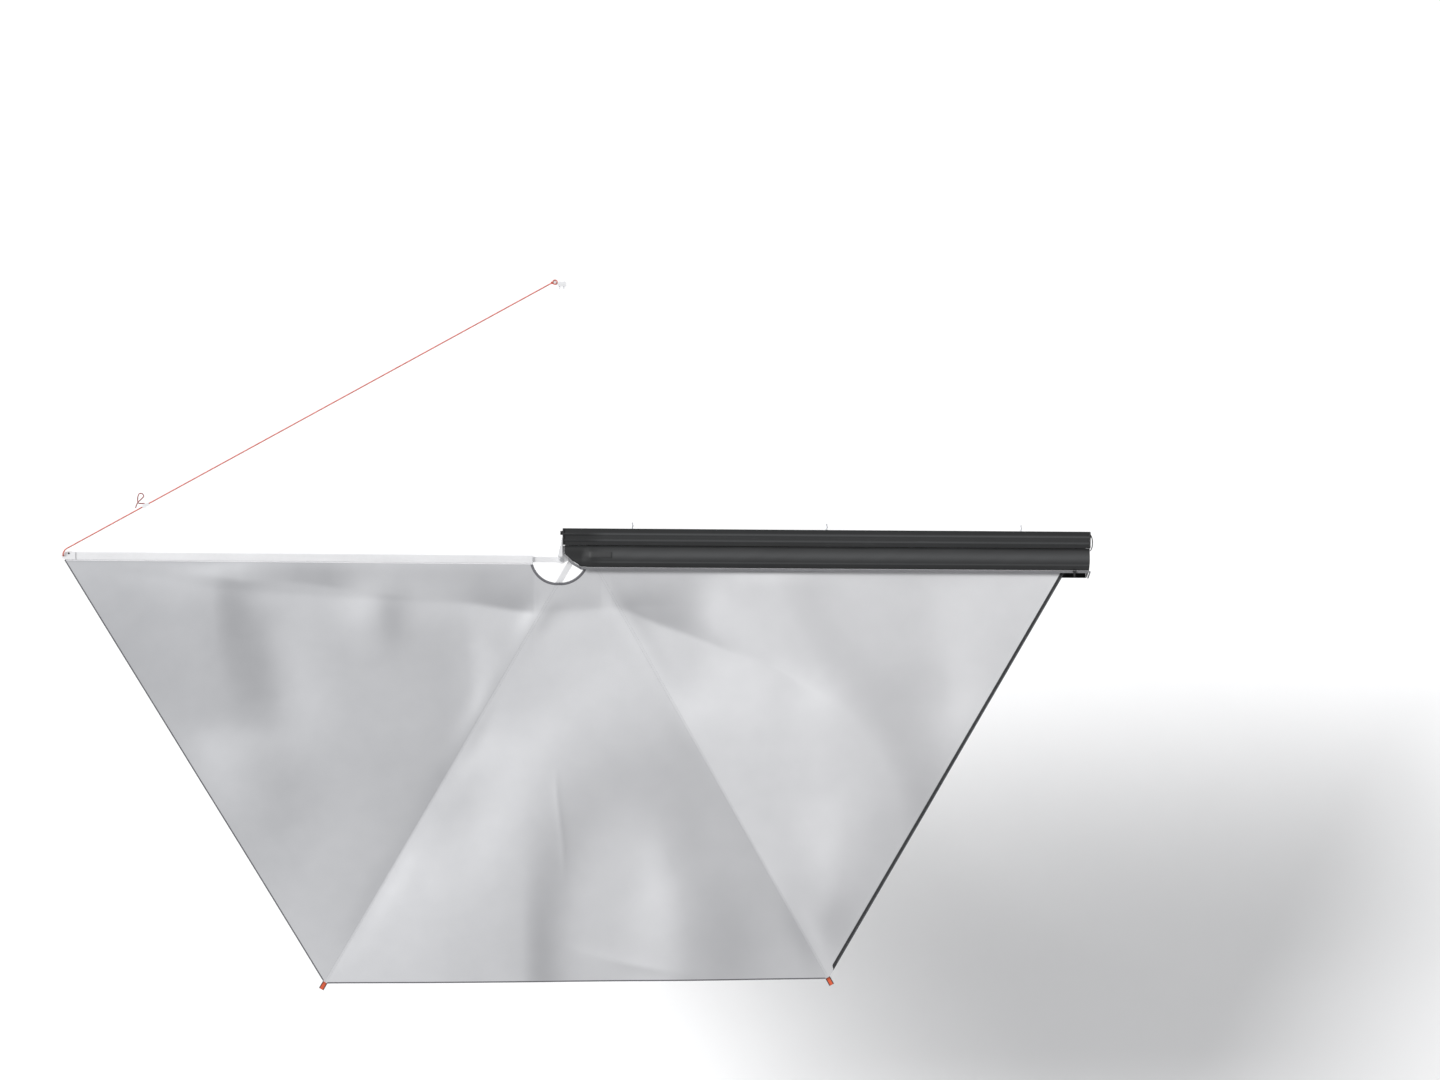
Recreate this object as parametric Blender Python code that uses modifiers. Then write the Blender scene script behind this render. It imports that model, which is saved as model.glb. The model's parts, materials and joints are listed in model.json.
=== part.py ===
# Freestanding fan awning for the side of a vehicle's roof rack, opened through 180 degrees.
# Metres. +X runs to the vehicle's front, +Y towards the vehicle, +Z up. The origin is on
# the back face of the case's aluminium profile, at the middle of its length and height.

import math

import bmesh
import bpy
import numpy as np
from mathutils import Matrix, Vector

GAP = 0.0003  # left between pieces that touch
ROUND = 20  # sides of a round piece

# The back profile: depths are measured from the back face, outwards from the vehicle.
CASE_LENGTH = 2.566
CASE_REAR_X = -CASE_LENGTH / 2
CASE_FRONT_X = CASE_LENGTH / 2
SHELF_Z = 0.066
CASE_BOTTOM_Z = -0.070
WALL = 0.003
SHELF_DEPTH = 0.082
SHELF_LIP = 0.016
FLOOR_DEPTH = 0.035
FLOOR_LIP = 0.010
RIDGE_DEPTHS = (0.029, 0.059)
RIDGE_HEIGHT = 0.005
RIDGE_HALF_WIDTH = 0.009
SLOT_Z = 0.040  # the two T-slots lie this far above and below the middle
SLOT_MOUTH = 0.009
SLOT_WIDTH = 0.018
SLOT_DEPTH = 0.008
CAP_THICKNESS = 0.006
CAP_BOLT_RADIUS = 0.010
CAP_BOLT_LENGTH = 0.012
CAP_BOLT_DEPTH = 0.023

# T-bolts that fix the case to a rack
T_BOLT_INSET = 0.333  # from the case's ends
T_BOLT_XS = (CASE_REAR_X + T_BOLT_INSET, 0.0, CASE_FRONT_X - T_BOLT_INSET)
T_BOLT_RADIUS = 0.004
T_BOLT_REACH = 0.028
T_NUT_RADIUS = 0.0075
T_NUT_HEIGHT = 0.007
T_NUT_STAND_OFF = 0.010

# The bag: (depth, height) of the cover's and the flap's outlines, from the profile outwards
CLOTH = 0.0025
COVER_OUTLINE = (
    (0.0840, 0.0600),
    (0.0930, 0.0545),
    (0.1120, 0.0610),
    (0.1340, 0.0660),
    (0.1500, 0.0635),
    (0.1640, 0.0575),
    (0.1780, 0.0460),
    (0.1880, 0.0345),
)
# Where the cover's edge is cut back over the hinge: (distance from the case's rear end, depth)
COVER_NOTCH = ((0.004, 0.124), (0.021, 0.140), (0.0382, 0.157), (0.083, 0.184), (0.123, 0.188))
COVER_STATIONS = (0.004, 0.021, 0.0382, 0.061, 0.083, 0.103, 0.123, 0.138)
COVER_HOLLOW = 0.018  # how far the cover sinks above the hinge
HOLLOW_REACH = 0.138  # the sunken part ends this far from the case's rear end
HOLLOW_FADE = 0.055
HOLLOW_DEPTH = 0.140
HOLLOW_SPREAD = 0.032
COVER_STEPS = 14
FIRST_PATCH_STEP = 4
LAST_PATCH_STEP = 8
FLAP_OUTLINE = (
    (0.0360, -0.0720),
    (0.0700, -0.0800),
    (0.1200, -0.0850),
    (0.1750, -0.0820),
    (0.2080, -0.0730),
    (0.2265, -0.0600),
)
FLAP_NOTCH = ((0.021, 0.110), (0.0382, 0.150), (0.083, 0.197), (0.123, 0.2265))
ZIP_WIDTH = 0.0125
ZIP_THICKNESS = 0.0022
ZIP_DROP = 0.002  # how much lower the tape's outer edge lies
PIPING_RADIUS = 0.0035
PATCH_FRONT_X = CASE_REAR_X + 0.233
PATCH_THICKNESS = 0.0012
PATCH_LIFT = 0.0026
PULL_LOOP_DEPTH = 0.0545
PULL_LOOP_HALF_WIDTH = 0.0410
PULL_LOOP_REACH = 0.0165
PULL_LOOP_HEIGHT = 0.025
WEBBING = 0.002
SLIDER_X = CASE_FRONT_X - 0.068
SLIDER_LENGTH = 0.016
SLIDER_WIDTH = 0.010
SLIDER_HEIGHT = 0.005
PULL_TAB_LENGTH = 0.026

# The keder rail that holds the canopy's inner edge
RAIL_DEPTH = 0.030
RAIL_LOW_Z = 0.002
RAIL_HEIGHT = 0.020
RAIL_REAR_X = CASE_REAR_X + 0.178
RAIL_FRONT_X = CASE_FRONT_X - 0.021

# The arms: tubes with a tongue on a vertical bolt
ARM_WIDTH = 0.044
ARM_HEIGHT = 0.050
ARM_WALL = 0.0025
ARM_CORNER = 0.005
ARM_TOP_Z = 0.0
TONGUE_WIDTH = 0.027
TONGUE_HEIGHT = 0.030
REAR_TONGUE = 0.141  # from the bolt to the tube's mouth
MID_TONGUE = 0.192
FRONT_TONGUE = 0.192
SPIGOT_LENGTH = 0.080
KNUCKLE_RADIUS = 0.0165
END_CAP = 0.005
END_PLUG = 0.020
BUSH_RADIUS = 0.010
BUSH_FLANGE = 0.002
BUSH_FLANGE_RADIUS = 0.0155
REAR_PIVOT = (CASE_REAR_X - 0.0147, -0.1549)
MID_PIVOT = (CASE_REAR_X + 0.0653, -0.1063)
FRONT_PIVOT = (CASE_REAR_X + 0.0830, -0.0600)
REAR_ANGLE = 179.9  # the arms' directions when open, in degrees from +X
MID_ANGLE = -119.9
FRONT_ANGLE = -60.2
REAR_LENGTH = 2.428  # from the bolt to the tube's end
MID_LENGTH = 2.438
FRONT_LENGTH = 2.445

# The hinge
PLATE = 0.006
LOBE_RADIUS = 0.0195
PIVOT_RADIUS = 0.006
PIVOT_PLAY = 0.0003
PIVOT_HEAD_RADIUS = 0.010
PIVOT_HEAD_HEIGHT = 0.0075
NUT_HEIGHT = 0.010
BACK_PLATE_X = (CASE_REAR_X + 0.004, CASE_REAR_X + 0.123)
BACK_PLATE_RISE = 0.024
GUSSET_TIP_DEPTH = 0.046
GUSSET_BASE_DEPTH = 0.1390
GUSSET_BASE_WIDTH = 0.0275
GUSSET_TIP_WIDTH = 0.007
GUSSET_HEIGHT = 0.046
HINGE_BOLT_XS = (CASE_REAR_X + 0.021, CASE_REAR_X + 0.103)
HINGE_BOLT_RADIUS = 0.004

# The canopy: cloth just above the arms
CANOPY_CLOTH = 0.0012
CANOPY_Z = 0.0062
CORNER_REACH_REAR = REAR_LENGTH + 0.0074
CORNER_REACH_MID = MID_LENGTH + 0.0131
CORNER_REACH_FRONT = FRONT_LENGTH + 0.0130
CORNER_CUT = 0.0125  # half the width of a corner, where its tab is sewn on
CUT_OUT_CENTRE = (CASE_REAR_X - 0.0355, -0.1447)
CUT_OUT_RADIUS = 0.123
FRONT_START = 0.062  # the canopy begins this far along the front arm's line
INNER_EDGE_DEPTH = 0.033
INNER_EDGE_X = (CASE_REAR_X + 0.183, CASE_FRONT_X - 0.037)
SEAM = 0.0008
BAND_WIDTH = 0.017
BAND_FROM_CORNER = 0.0344  # the band begins this far from the canopy's front corner
BAND_TAPER = 0.020
BAND_INNER_LEAD = 0.0025  # the band's inner side begins this far past its taper
BAND_END_BACK = 0.0176  # from the case's front end back to the band's end
BAND_END_DEPTH = 0.0345
BAND_END = (CASE_FRONT_X - BAND_END_BACK, -BAND_END_DEPTH)
BAND_THICKNESS = 0.0022
TAB_WIDTH = 0.025
TAB_REACH = 0.041
TAB_THICKNESS = 0.0018

# The guy rope, its eye and tensioner, and the bracket on the far side of the rack
ROPE_RADIUS = 0.003
ROPE_Z = 0.0125
EYE_PLATE = 0.004
EYE_WIDTH = 0.036
EYE_HOLE_RADIUS = 0.0045
EYE_OVERLAP = 0.045
EYE_HOLE_REACH = 0.0135
RIVET_REACH = -0.0130
RIVET_SIDE = -0.0115
RIVET_RADIUS = 0.0025
RIVET_HEAD_RADIUS = 0.0045
KNOT_RADIUS = 0.0075
# How the rope leaves its eye, in plan from the hole: then it runs straight to the bracket's post
ROPE_BEND = ((0.0007, 0.0106), (0.0062, 0.0236), (0.0152, 0.0331), (0.0293, 0.0410))
ROPE_END = (-0.0174, -0.0047)  # from the post
ROPE_STEPS = 56
TENSIONER_ALONG = 0.4282  # from the end of the bend
TENSIONER_LENGTH = 0.036
TENSIONER_WIDTH = 0.016
TENSIONER_HEIGHT = 0.012
TENSIONER_BORE = 0.0043
TAIL_RADIUS = 0.0025
# The tail loop in the tensioner's own axes: along the rope, across it to the left, up
TAIL_ROUTE = (
    (0.000, 0.0108, 0.0005),
    (-0.014, 0.0175, 0.0010),
    (-0.026, 0.0280, 0.0015),
    (-0.018, 0.0480, 0.0022),
    (-0.002, 0.0635, 0.0030),
    (0.0125, 0.0580, 0.0035),
    (0.0130, 0.0430, 0.0040),
    (-0.004, 0.0360, 0.0058),
    (-0.024, 0.0305, 0.0085),
    (-0.038, 0.0210, 0.0085),
    (-0.049, 0.0120, 0.0060),
)
ANCHOR_LOOP_RADIUS = 0.011
ANCHOR_POST = (CASE_REAR_X - 0.0545, 1.2050)
ANCHOR_POST_RADIUS = 0.0045
ANCHOR_BODY_X = (CASE_REAR_X - 0.0410, CASE_REAR_X + 0.0010)
ANCHOR_BODY_Y = (1.1850, 1.2050)
ANCHOR_BODY_HALF_HEIGHT = 0.014
ANCHOR_BAR_THICKNESS = 0.005
ANCHOR_BAR_REACH = 0.006
ANCHOR_BOLT_XS = (CASE_REAR_X - 0.0320, CASE_REAR_X - 0.0110)
ANCHOR_BOLT_RADIUS = 0.003
ANCHOR_BOLT_REACH = 0.012
ANCHOR_HEAD_RADIUS = 0.0055
ANCHOR_HEAD_HEIGHT = 0.0025

ARM_MID_Z = ARM_TOP_Z - ARM_HEIGHT / 2
TOP_PLATE_Z = ARM_MID_Z + TONGUE_HEIGHT / 2 + BUSH_FLANGE + GAP
BOTTOM_PLATE_Z = ARM_MID_Z - TONGUE_HEIGHT / 2 - GAP
BACK_PLATE_DEPTH = WALL + SLOT_DEPTH + WALL + GAP


def clear_scene():
    for thing in list(bpy.data.objects):
        bpy.data.objects.remove(thing, do_unlink=True)


def new_collection(name):
    collection = bpy.data.collections.new(name)
    bpy.context.scene.collection.children.link(collection)
    return collection


def new_material(name, colour, roughness, metallic=0.0):
    material = bpy.data.materials.new(name)
    material.use_nodes = True
    shader = material.node_tree.nodes["Principled BSDF"]
    shader.inputs["Base Color"].default_value = (*colour, 1.0)
    shader.inputs["Roughness"].default_value = roughness
    shader.inputs["Metallic"].default_value = metallic
    return material


clear_scene()
parts = new_collection("side_awning")
cutters = new_collection("cutters")
charcoal = new_material("charcoal_profile", (0.050, 0.052, 0.055), 0.45)
bag_cloth = new_material("bag_cloth", (0.045, 0.047, 0.050), 0.75)
zip_grey = new_material("zip_grey", (0.35, 0.36, 0.37), 0.6)
bare_metal = new_material("bare_metal", (0.86, 0.87, 0.88), 0.30, 1.0)
bolt_steel = new_material("bolt_steel", (0.55, 0.56, 0.58), 0.35, 1.0)
black_plastic = new_material("black_plastic", (0.02, 0.02, 0.02), 0.5)
canopy_cloth = new_material("canopy_cloth", (0.56, 0.57, 0.59), 0.6)
black_webbing = new_material("black_webbing", (0.015, 0.015, 0.017), 0.8)
orange_webbing = new_material("orange_webbing", (0.75, 0.13, 0.04), 0.8)
rope_red = new_material("rope_red", (0.70, 0.10, 0.04), 0.8)
bush_nylon = new_material("bush_nylon", (0.80, 0.80, 0.78), 0.5)


def finish(obj, material, parent=None):
    """Gives the piece its material and, under an empty, keeps it where it is."""
    obj.data.materials.clear()
    obj.data.materials.append(material)
    if obj.name not in parts.objects:
        parts.objects.link(obj)
    if parent:
        obj.parent = parent
    return obj


def mesh_object(name, mesh):
    mesh.name = name
    return bpy.data.objects.new(name, mesh)


def from_bmesh(name, work):
    mesh = bpy.data.meshes.new(name)
    work.to_mesh(mesh)
    work.free()
    return mesh_object(name, mesh)


def as_cutter(obj):
    obj.hide_render = True
    obj.display_type = "WIRE"
    if obj.name not in cutters.objects:
        cutters.objects.link(obj)
    return obj


def cut(obj, tool, operation="DIFFERENCE"):
    step = obj.modifiers.new(tool.name, "BOOLEAN")
    step.operation = operation
    step.object = as_cutter(tool)
    step.solver = "EXACT"
    return obj


def join(obj, tool):
    return cut(obj, tool, "UNION")


def smooth(obj, angle=35):
    obj.data.shade_smooth()
    obj.data.set_sharp_from_angle(angle=math.radians(angle))
    return obj


def extrude(name, outlines, low, high, along="Z"):
    """A solid with these closed outlines, (x, y) along Z or (y, z) along X; later ones are holes."""
    curve = bpy.data.curves.new(name, "CURVE")
    curve.dimensions = "2D"
    curve.fill_mode = "BOTH"
    curve.extrude = (high - low) / 2
    for outline in outlines:
        spline = curve.splines.new("POLY")
        spline.points.add(len(outline) - 1)
        for point, (a, b) in zip(spline.points, outline):
            point.co = (a, b, 0.0, 1.0)
        spline.use_cyclic_u = True
    flat = bpy.data.objects.new(name + "_curve", curve)
    bpy.context.scene.collection.objects.link(flat)
    depsgraph = bpy.context.evaluated_depsgraph_get()
    mesh = bpy.data.meshes.new_from_object(flat.evaluated_get(depsgraph))
    bpy.data.objects.remove(flat, do_unlink=True)
    lift = Matrix.Translation((0, 0, (low + high) / 2))
    forward = Matrix(((0, 0, 1, 0), (1, 0, 0, 0), (0, 1, 0, 0), (0, 0, 0, 1)))
    mesh.transform(forward @ lift if along == "X" else lift)
    work = bmesh.new()
    work.from_mesh(mesh)
    bmesh.ops.remove_doubles(work, verts=work.verts, dist=1e-6)
    bmesh.ops.recalc_face_normals(work, faces=work.faces)
    work.to_mesh(mesh)
    work.free()
    return mesh_object(name, mesh)


def cylinder(name, base, radius, length, axis="Z", sides=ROUND):
    """A cylinder that starts at base and runs along +X, +Y or +Z."""
    work = bmesh.new()
    bmesh.ops.create_cone(
        work, cap_ends=True, segments=sides, radius1=radius, radius2=radius, depth=length
    )
    turns = {
        "X": Matrix.Rotation(math.pi / 2, 4, "Y"),
        "Y": Matrix.Rotation(-math.pi / 2, 4, "X"),
        "Z": Matrix(),
    }
    lift = Matrix.Translation((0, 0, length / 2))
    bmesh.ops.transform(work, matrix=Matrix.Translation(base) @ turns[axis] @ lift, verts=work.verts)
    return from_bmesh(name, work)


def box(name, low, high):
    work = bmesh.new()
    bmesh.ops.create_cube(work, size=1.0)
    low, high = Vector(low), Vector(high)
    bmesh.ops.scale(work, vec=high - low, verts=work.verts)
    bmesh.ops.translate(work, vec=(low + high) / 2, verts=work.verts)
    return from_bmesh(name, work)


def bevel(obj, width, segments=2):
    step = obj.modifiers.new("edges", "BEVEL")
    step.width = width
    step.segments = segments
    step.limit_method = "ANGLE"
    return obj


def arc(centre, radius, start, end, steps):
    """Points on an arc, from one angle in degrees to the other."""
    return [
        (
            centre[0] + radius * math.cos(math.radians(start + (end - start) * i / steps)),
            centre[1] + radius * math.sin(math.radians(start + (end - start) * i / steps)),
        )
        for i in range(steps + 1)
    ]


def circle(centre, radius, sides=ROUND):
    return arc(centre, radius, 0, 360 - 360 / sides, sides - 1)


def rounded_rectangle(width, height, corner, centre=(0.0, 0.0), steps=3):
    points = []
    for sign_a, sign_b, start in ((1, 1, 0), (-1, 1, 90), (-1, -1, 180), (1, -1, 270)):
        middle = (
            centre[0] + sign_a * (width / 2 - corner),
            centre[1] + sign_b * (height / 2 - corner),
        )
        points += arc(middle, corner, start, start + 90, steps)
    return points


def tube(name, points, radius, resolution=2):
    """A round cord, wire or rod along a list of points."""
    curve = bpy.data.curves.new(name, "CURVE")
    curve.dimensions = "3D"
    curve.bevel_depth = radius
    curve.bevel_resolution = resolution
    curve.use_fill_caps = True
    spline = curve.splines.new("POLY")
    spline.points.add(len(points) - 1)
    for point, place in zip(spline.points, points):
        point.co = (*place, 1.0)
    return bpy.data.objects.new(name, curve)


def as_mesh(curve_object):
    """The curve's own surface as a mesh, for a Boolean."""
    bpy.context.scene.collection.objects.link(curve_object)
    depsgraph = bpy.context.evaluated_depsgraph_get()
    mesh = bpy.data.meshes.new_from_object(curve_object.evaluated_get(depsgraph))
    name = curve_object.name
    bpy.data.objects.remove(curve_object, do_unlink=True)
    work = bmesh.new()
    work.from_mesh(mesh)
    bmesh.ops.remove_doubles(work, verts=work.verts, dist=1e-6)
    return from_bmesh(name, work)


def smooth_route(points, count):
    """Evenly spaced points on a Catmull-Rom curve through the given ones."""
    points = np.array(points, float)
    ends = [2 * points[0] - points[1], *points, 2 * points[-1] - points[-2]]
    fine = []
    for a, b, c, d in zip(ends, ends[1:], ends[2:], ends[3:]):
        for t in np.linspace(0, 1, 24, endpoint=False):
            bend, twist = 2 * a - 5 * b + 4 * c - d, 3 * b - a - 3 * c + d
            fine.append(0.5 * (2 * b + (c - a) * t + bend * t**2 + twist * t**3))
    fine = np.array([*fine, points[-1]])
    along = np.concatenate([[0], np.cumsum(np.linalg.norm(np.diff(fine, axis=0), axis=1))])
    at = np.linspace(0, along[-1], count)
    return np.stack([np.interp(at, along, fine[:, k]) for k in range(fine.shape[1])], axis=1)


def sheet(name, points, thickness):
    """A cloth from a grid of points, indexed [row][column], given a thickness both ways."""
    rows, columns = points.shape[:2]
    work = bmesh.new()
    verts = [[work.verts.new(points[i, j]) for j in range(columns)] for i in range(rows)]
    for i in range(rows - 1):
        for j in range(columns - 1):
            work.faces.new((verts[i][j], verts[i + 1][j], verts[i + 1][j + 1], verts[i][j + 1]))
    obj = from_bmesh(name, work)
    step = obj.modifiers.new("thickness", "SOLIDIFY")
    step.thickness = thickness
    step.offset = 0.0
    return obj


# The case


def ridge(depth):
    """How far the profile's top stands up at this depth: two rounded ribs."""
    lift = 0.0
    for middle in RIDGE_DEPTHS:
        off = abs(depth - middle) / RIDGE_HALF_WIDTH
        if off < 1:
            lift += RIDGE_HEIGHT * (0.5 + 0.5 * math.cos(math.pi * off))
    return lift


def slot_outline(middle):
    """The T-slot's edge in (depth, height), from below to above."""
    mouth, half = SLOT_MOUTH / 2, SLOT_WIDTH / 2
    deep = WALL + SLOT_DEPTH
    return [
        (0, middle - mouth),
        (WALL, middle - mouth),
        (WALL, middle - half),
        (deep, middle - half),
        (deep, middle + half),
        (WALL, middle + half),
        (WALL, middle + mouth),
        (0, middle + mouth),
    ]


def back_profile():
    depths = np.linspace(WALL, SHELF_DEPTH - WALL, 28)
    top = [(d, SHELF_Z + ridge(d)) for d in depths]
    box_depth, box_half = WALL + SLOT_DEPTH + WALL, SLOT_WIDTH / 2 + WALL
    outline = [(0, CASE_BOTTOM_Z), *slot_outline(-SLOT_Z), *slot_outline(SLOT_Z)]
    outline += [(0, SHELF_Z - WALL / 2), *top, (SHELF_DEPTH, SHELF_Z - WALL / 2)]
    outline += [(SHELF_DEPTH, SHELF_Z - SHELF_LIP), (SHELF_DEPTH - WALL, SHELF_Z - SHELF_LIP)]
    outline += [(SHELF_DEPTH - WALL, SHELF_Z - WALL), (WALL, SHELF_Z - WALL)]
    for middle in (SLOT_Z, -SLOT_Z):
        outline += [
            (WALL, middle + box_half),
            (box_depth, middle + box_half),
            (box_depth, middle - box_half),
            (WALL, middle - box_half),
        ]
    outline += [(WALL, CASE_BOTTOM_Z + WALL), (FLOOR_DEPTH - WALL, CASE_BOTTOM_Z + WALL)]
    outline += [(FLOOR_DEPTH - WALL, CASE_BOTTOM_Z + FLOOR_LIP), (FLOOR_DEPTH, CASE_BOTTOM_Z + FLOOR_LIP)]
    outline += [(FLOOR_DEPTH, CASE_BOTTOM_Z)]
    outline = [(-depth, z) for depth, z in outline]
    return finish(extrude("back_profile", [outline], CASE_REAR_X, CASE_FRONT_X, "X"), charcoal)


def end_cap(name, low_x, high_x):
    depth = SHELF_DEPTH - GAP
    outline = rounded_rectangle(
        depth, SHELF_Z - CASE_BOTTOM_Z + RIDGE_HEIGHT, 0.008,
        (-depth / 2, (SHELF_Z + CASE_BOTTOM_Z + RIDGE_HEIGHT) / 2),
    )
    return finish(bevel(extrude(name, [outline], low_x, high_x, "X"), 0.0012, 1), black_plastic)


def end_caps():
    end_cap("rear_end_cap", CASE_REAR_X - GAP - CAP_THICKNESS, CASE_REAR_X - GAP)
    end_cap("front_end_cap", CASE_FRONT_X + GAP, CASE_FRONT_X + GAP + CAP_THICKNESS)
    outer = GAP + CAP_THICKNESS + GAP
    z = SHELF_Z - 0.024
    rear_base = (CASE_REAR_X - outer - CAP_BOLT_LENGTH, -CAP_BOLT_DEPTH, z)
    rear = cylinder("rear_cap_bolt", rear_base, CAP_BOLT_RADIUS, CAP_BOLT_LENGTH, "X")
    finish(smooth(bevel(rear, 0.002)), bolt_steel)
    front_base = (CASE_FRONT_X + outer, -CAP_BOLT_DEPTH, z)
    front = cylinder("front_cap_bolt", front_base, CAP_BOLT_RADIUS, CAP_BOLT_LENGTH / 3, "X")
    finish(smooth(bevel(front, 0.001)), bolt_steel)


def rack_bolts():
    """T-bolts in the upper slot, with a nut that leaves room for the rack's plate."""
    for number, x in enumerate(T_BOLT_XS, 1):
        head_y = -WALL - SLOT_DEPTH + GAP
        bolt = box(
            f"t_bolt_{number}",
            (x - SLOT_WIDTH / 2, head_y, SLOT_Z - SLOT_WIDTH / 2 + GAP),
            (x + SLOT_WIDTH / 2, -WALL - GAP, SLOT_Z + SLOT_WIDTH / 2 - GAP),
        )
        shank = cylinder(
            f"t_bolt_shank_{number}", (x, head_y + 0.002, SLOT_Z), T_BOLT_RADIUS, T_BOLT_REACH - head_y, "Y"
        )
        finish(join(bolt, shank), bolt_steel)
        nut = cylinder(f"t_nut_{number}", (x, T_NUT_STAND_OFF, SLOT_Z), T_NUT_RADIUS, T_NUT_HEIGHT, "Y", 6)
        bore = cylinder(
            f"t_nut_bore_{number}", (x, 0, SLOT_Z), T_BOLT_RADIUS + GAP, 2 * T_BOLT_REACH, "Y"
        )
        finish(cut(nut, bore), bolt_steel)


def keder_rail():
    """A C-shaped rail: a round channel with a slit towards the canopy."""
    high = RAIL_LOW_Z + RAIL_HEIGHT
    slit_low, slit_high = CANOPY_Z - 0.003, CANOPY_Z + 0.003
    outline = [
        (WALL + GAP, RAIL_LOW_Z), (WALL + GAP, high), (RAIL_DEPTH, high), (RAIL_DEPTH, slit_high),
        (RAIL_DEPTH - 0.002, slit_high), (RAIL_DEPTH - 0.002, high - 0.002), (WALL + 0.012, high - 0.002),
        (WALL + 0.012, RAIL_LOW_Z + 0.0010), (RAIL_DEPTH - 0.002, RAIL_LOW_Z + 0.0010),
        (RAIL_DEPTH - 0.002, slit_low), (RAIL_DEPTH, slit_low), (RAIL_DEPTH, RAIL_LOW_Z),
    ]
    outline = [(-depth, z) for depth, z in outline]
    return finish(extrude("keder_rail", [outline], RAIL_REAR_X, RAIL_FRONT_X, "X"), bare_metal)


# The bag


def cover_edge(x):
    """How deep the cover reaches at this place along the case: cut back over the hinge."""
    places, depths = zip(*COVER_NOTCH)
    return float(np.interp(x - CASE_REAR_X, places, depths))


def cover_height(x, depth):
    """The cover's height: a smooth curve through its outline, sunk above the hinge."""
    outline = smooth_route(COVER_OUTLINE, 60)
    z = float(np.interp(depth, outline[:, 0], outline[:, 1]))
    near = min(max((CASE_REAR_X + HOLLOW_REACH - x) / HOLLOW_FADE, 0.0), 1.0)
    middle = math.exp(-(((depth - HOLLOW_DEPTH) / HOLLOW_SPREAD) ** 2))
    return z - COVER_HOLLOW * middle * near * near * (3 - 2 * near)


def cover_stations():
    """Places along the case where the cover's section is taken."""
    xs = [CASE_REAR_X + place for place in COVER_STATIONS]
    return xs + list(np.linspace(xs[-1], CASE_FRONT_X, 9)[1:])


def cover_row(x, shares):
    """Points across the cover at this place; a share of 1 is its outer edge."""
    first = COVER_OUTLINE[0][0]
    depths = first + (cover_edge(x) - first) * np.array(shares)
    return [(x, -d, cover_height(x, d)) for d in depths]


def cover_grid():
    return np.array([cover_row(x, np.linspace(0, 1, COVER_STEPS + 1)) for x in cover_stations()])


def bag_cover():
    return finish(smooth(sheet("bag_cover", cover_grid(), CLOTH), 60), bag_cloth)


def bag_front_end():
    """The bag's flat end, from the cover's outline down to the flap's."""
    top = smooth_route(COVER_OUTLINE, 12)
    low = smooth_route(FLAP_OUTLINE, 9)
    start = SHELF_DEPTH + GAP
    outline = [(start, top[0][1])] + [(d, z) for d, z in top if d > start]
    outline += [(d, z) for d, z in reversed(low) if d > start]
    outline += [(start, float(np.interp(start, low[:, 0], low[:, 1])))]
    outline = [(-depth, z) for depth, z in outline]
    low_x = CASE_FRONT_X + CLOTH / 2 + GAP
    return finish(extrude("bag_front_end", [outline], low_x, low_x + CLOTH, "X"), bag_cloth)


def bag_flap():
    """The open lower flap, cut back over the hinge like the cover."""
    outline = smooth_route(FLAP_OUTLINE, 40)
    start = FLOOR_DEPTH + GAP
    places, reaches = zip(*FLAP_NOTCH)
    xs = [CASE_REAR_X + place for place in places]
    xs += list(np.linspace(xs[-1], CASE_FRONT_X, 6)[1:])
    rows = []
    for x in xs:
        edge = float(np.interp(x - CASE_REAR_X, places, reaches))
        depths = np.linspace(start, edge, 10)
        rows.append([(x, -d, float(np.interp(d, outline[:, 0], outline[:, 1]))) for d in depths])
    return finish(smooth(sheet("bag_flap", np.array(rows), CLOTH), 60), bag_cloth)


def zip_height(x):
    return cover_height(x, cover_edge(x)) - 0.001


def bag_zip():
    """A tape along the cover's cut edge, with a piping that turns down the bag's front end."""
    rows = []
    for x in [*cover_stations()[1:-1], CASE_FRONT_X - 0.001]:
        depth, z = cover_edge(x), zip_height(x)
        slanted = 0.80 if x < CASE_REAR_X + COVER_NOTCH[3][0] + 0.01 else 1.0
        near, far = depth + 0.0018 / slanted, depth + (0.0018 + ZIP_WIDTH) / slanted
        rows.append([(x, -near, z), (x, -far, z - ZIP_DROP)])
    tape = sheet("bag_zip", np.array(rows), ZIP_THICKNESS)
    depth, z = COVER_NOTCH[-1][1] + 0.008, zip_height(CASE_FRONT_X) - ZIP_DROP / 2
    corner_x = CASE_FRONT_X + 2 * CLOTH + PIPING_RADIUS
    flap_depth, flap_z = FLAP_OUTLINE[-1]
    route = [(CASE_FRONT_X - 0.008, -depth, z), (CASE_FRONT_X + 0.003, -depth, z)]
    route += [(corner_x, -depth - 0.001, z - 0.004), (corner_x, -flap_depth, flap_z + 0.006)]
    piping = as_mesh(tube("bag_zip_piping", route, PIPING_RADIUS))
    return finish(join(tape, piping), zip_grey)


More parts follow.
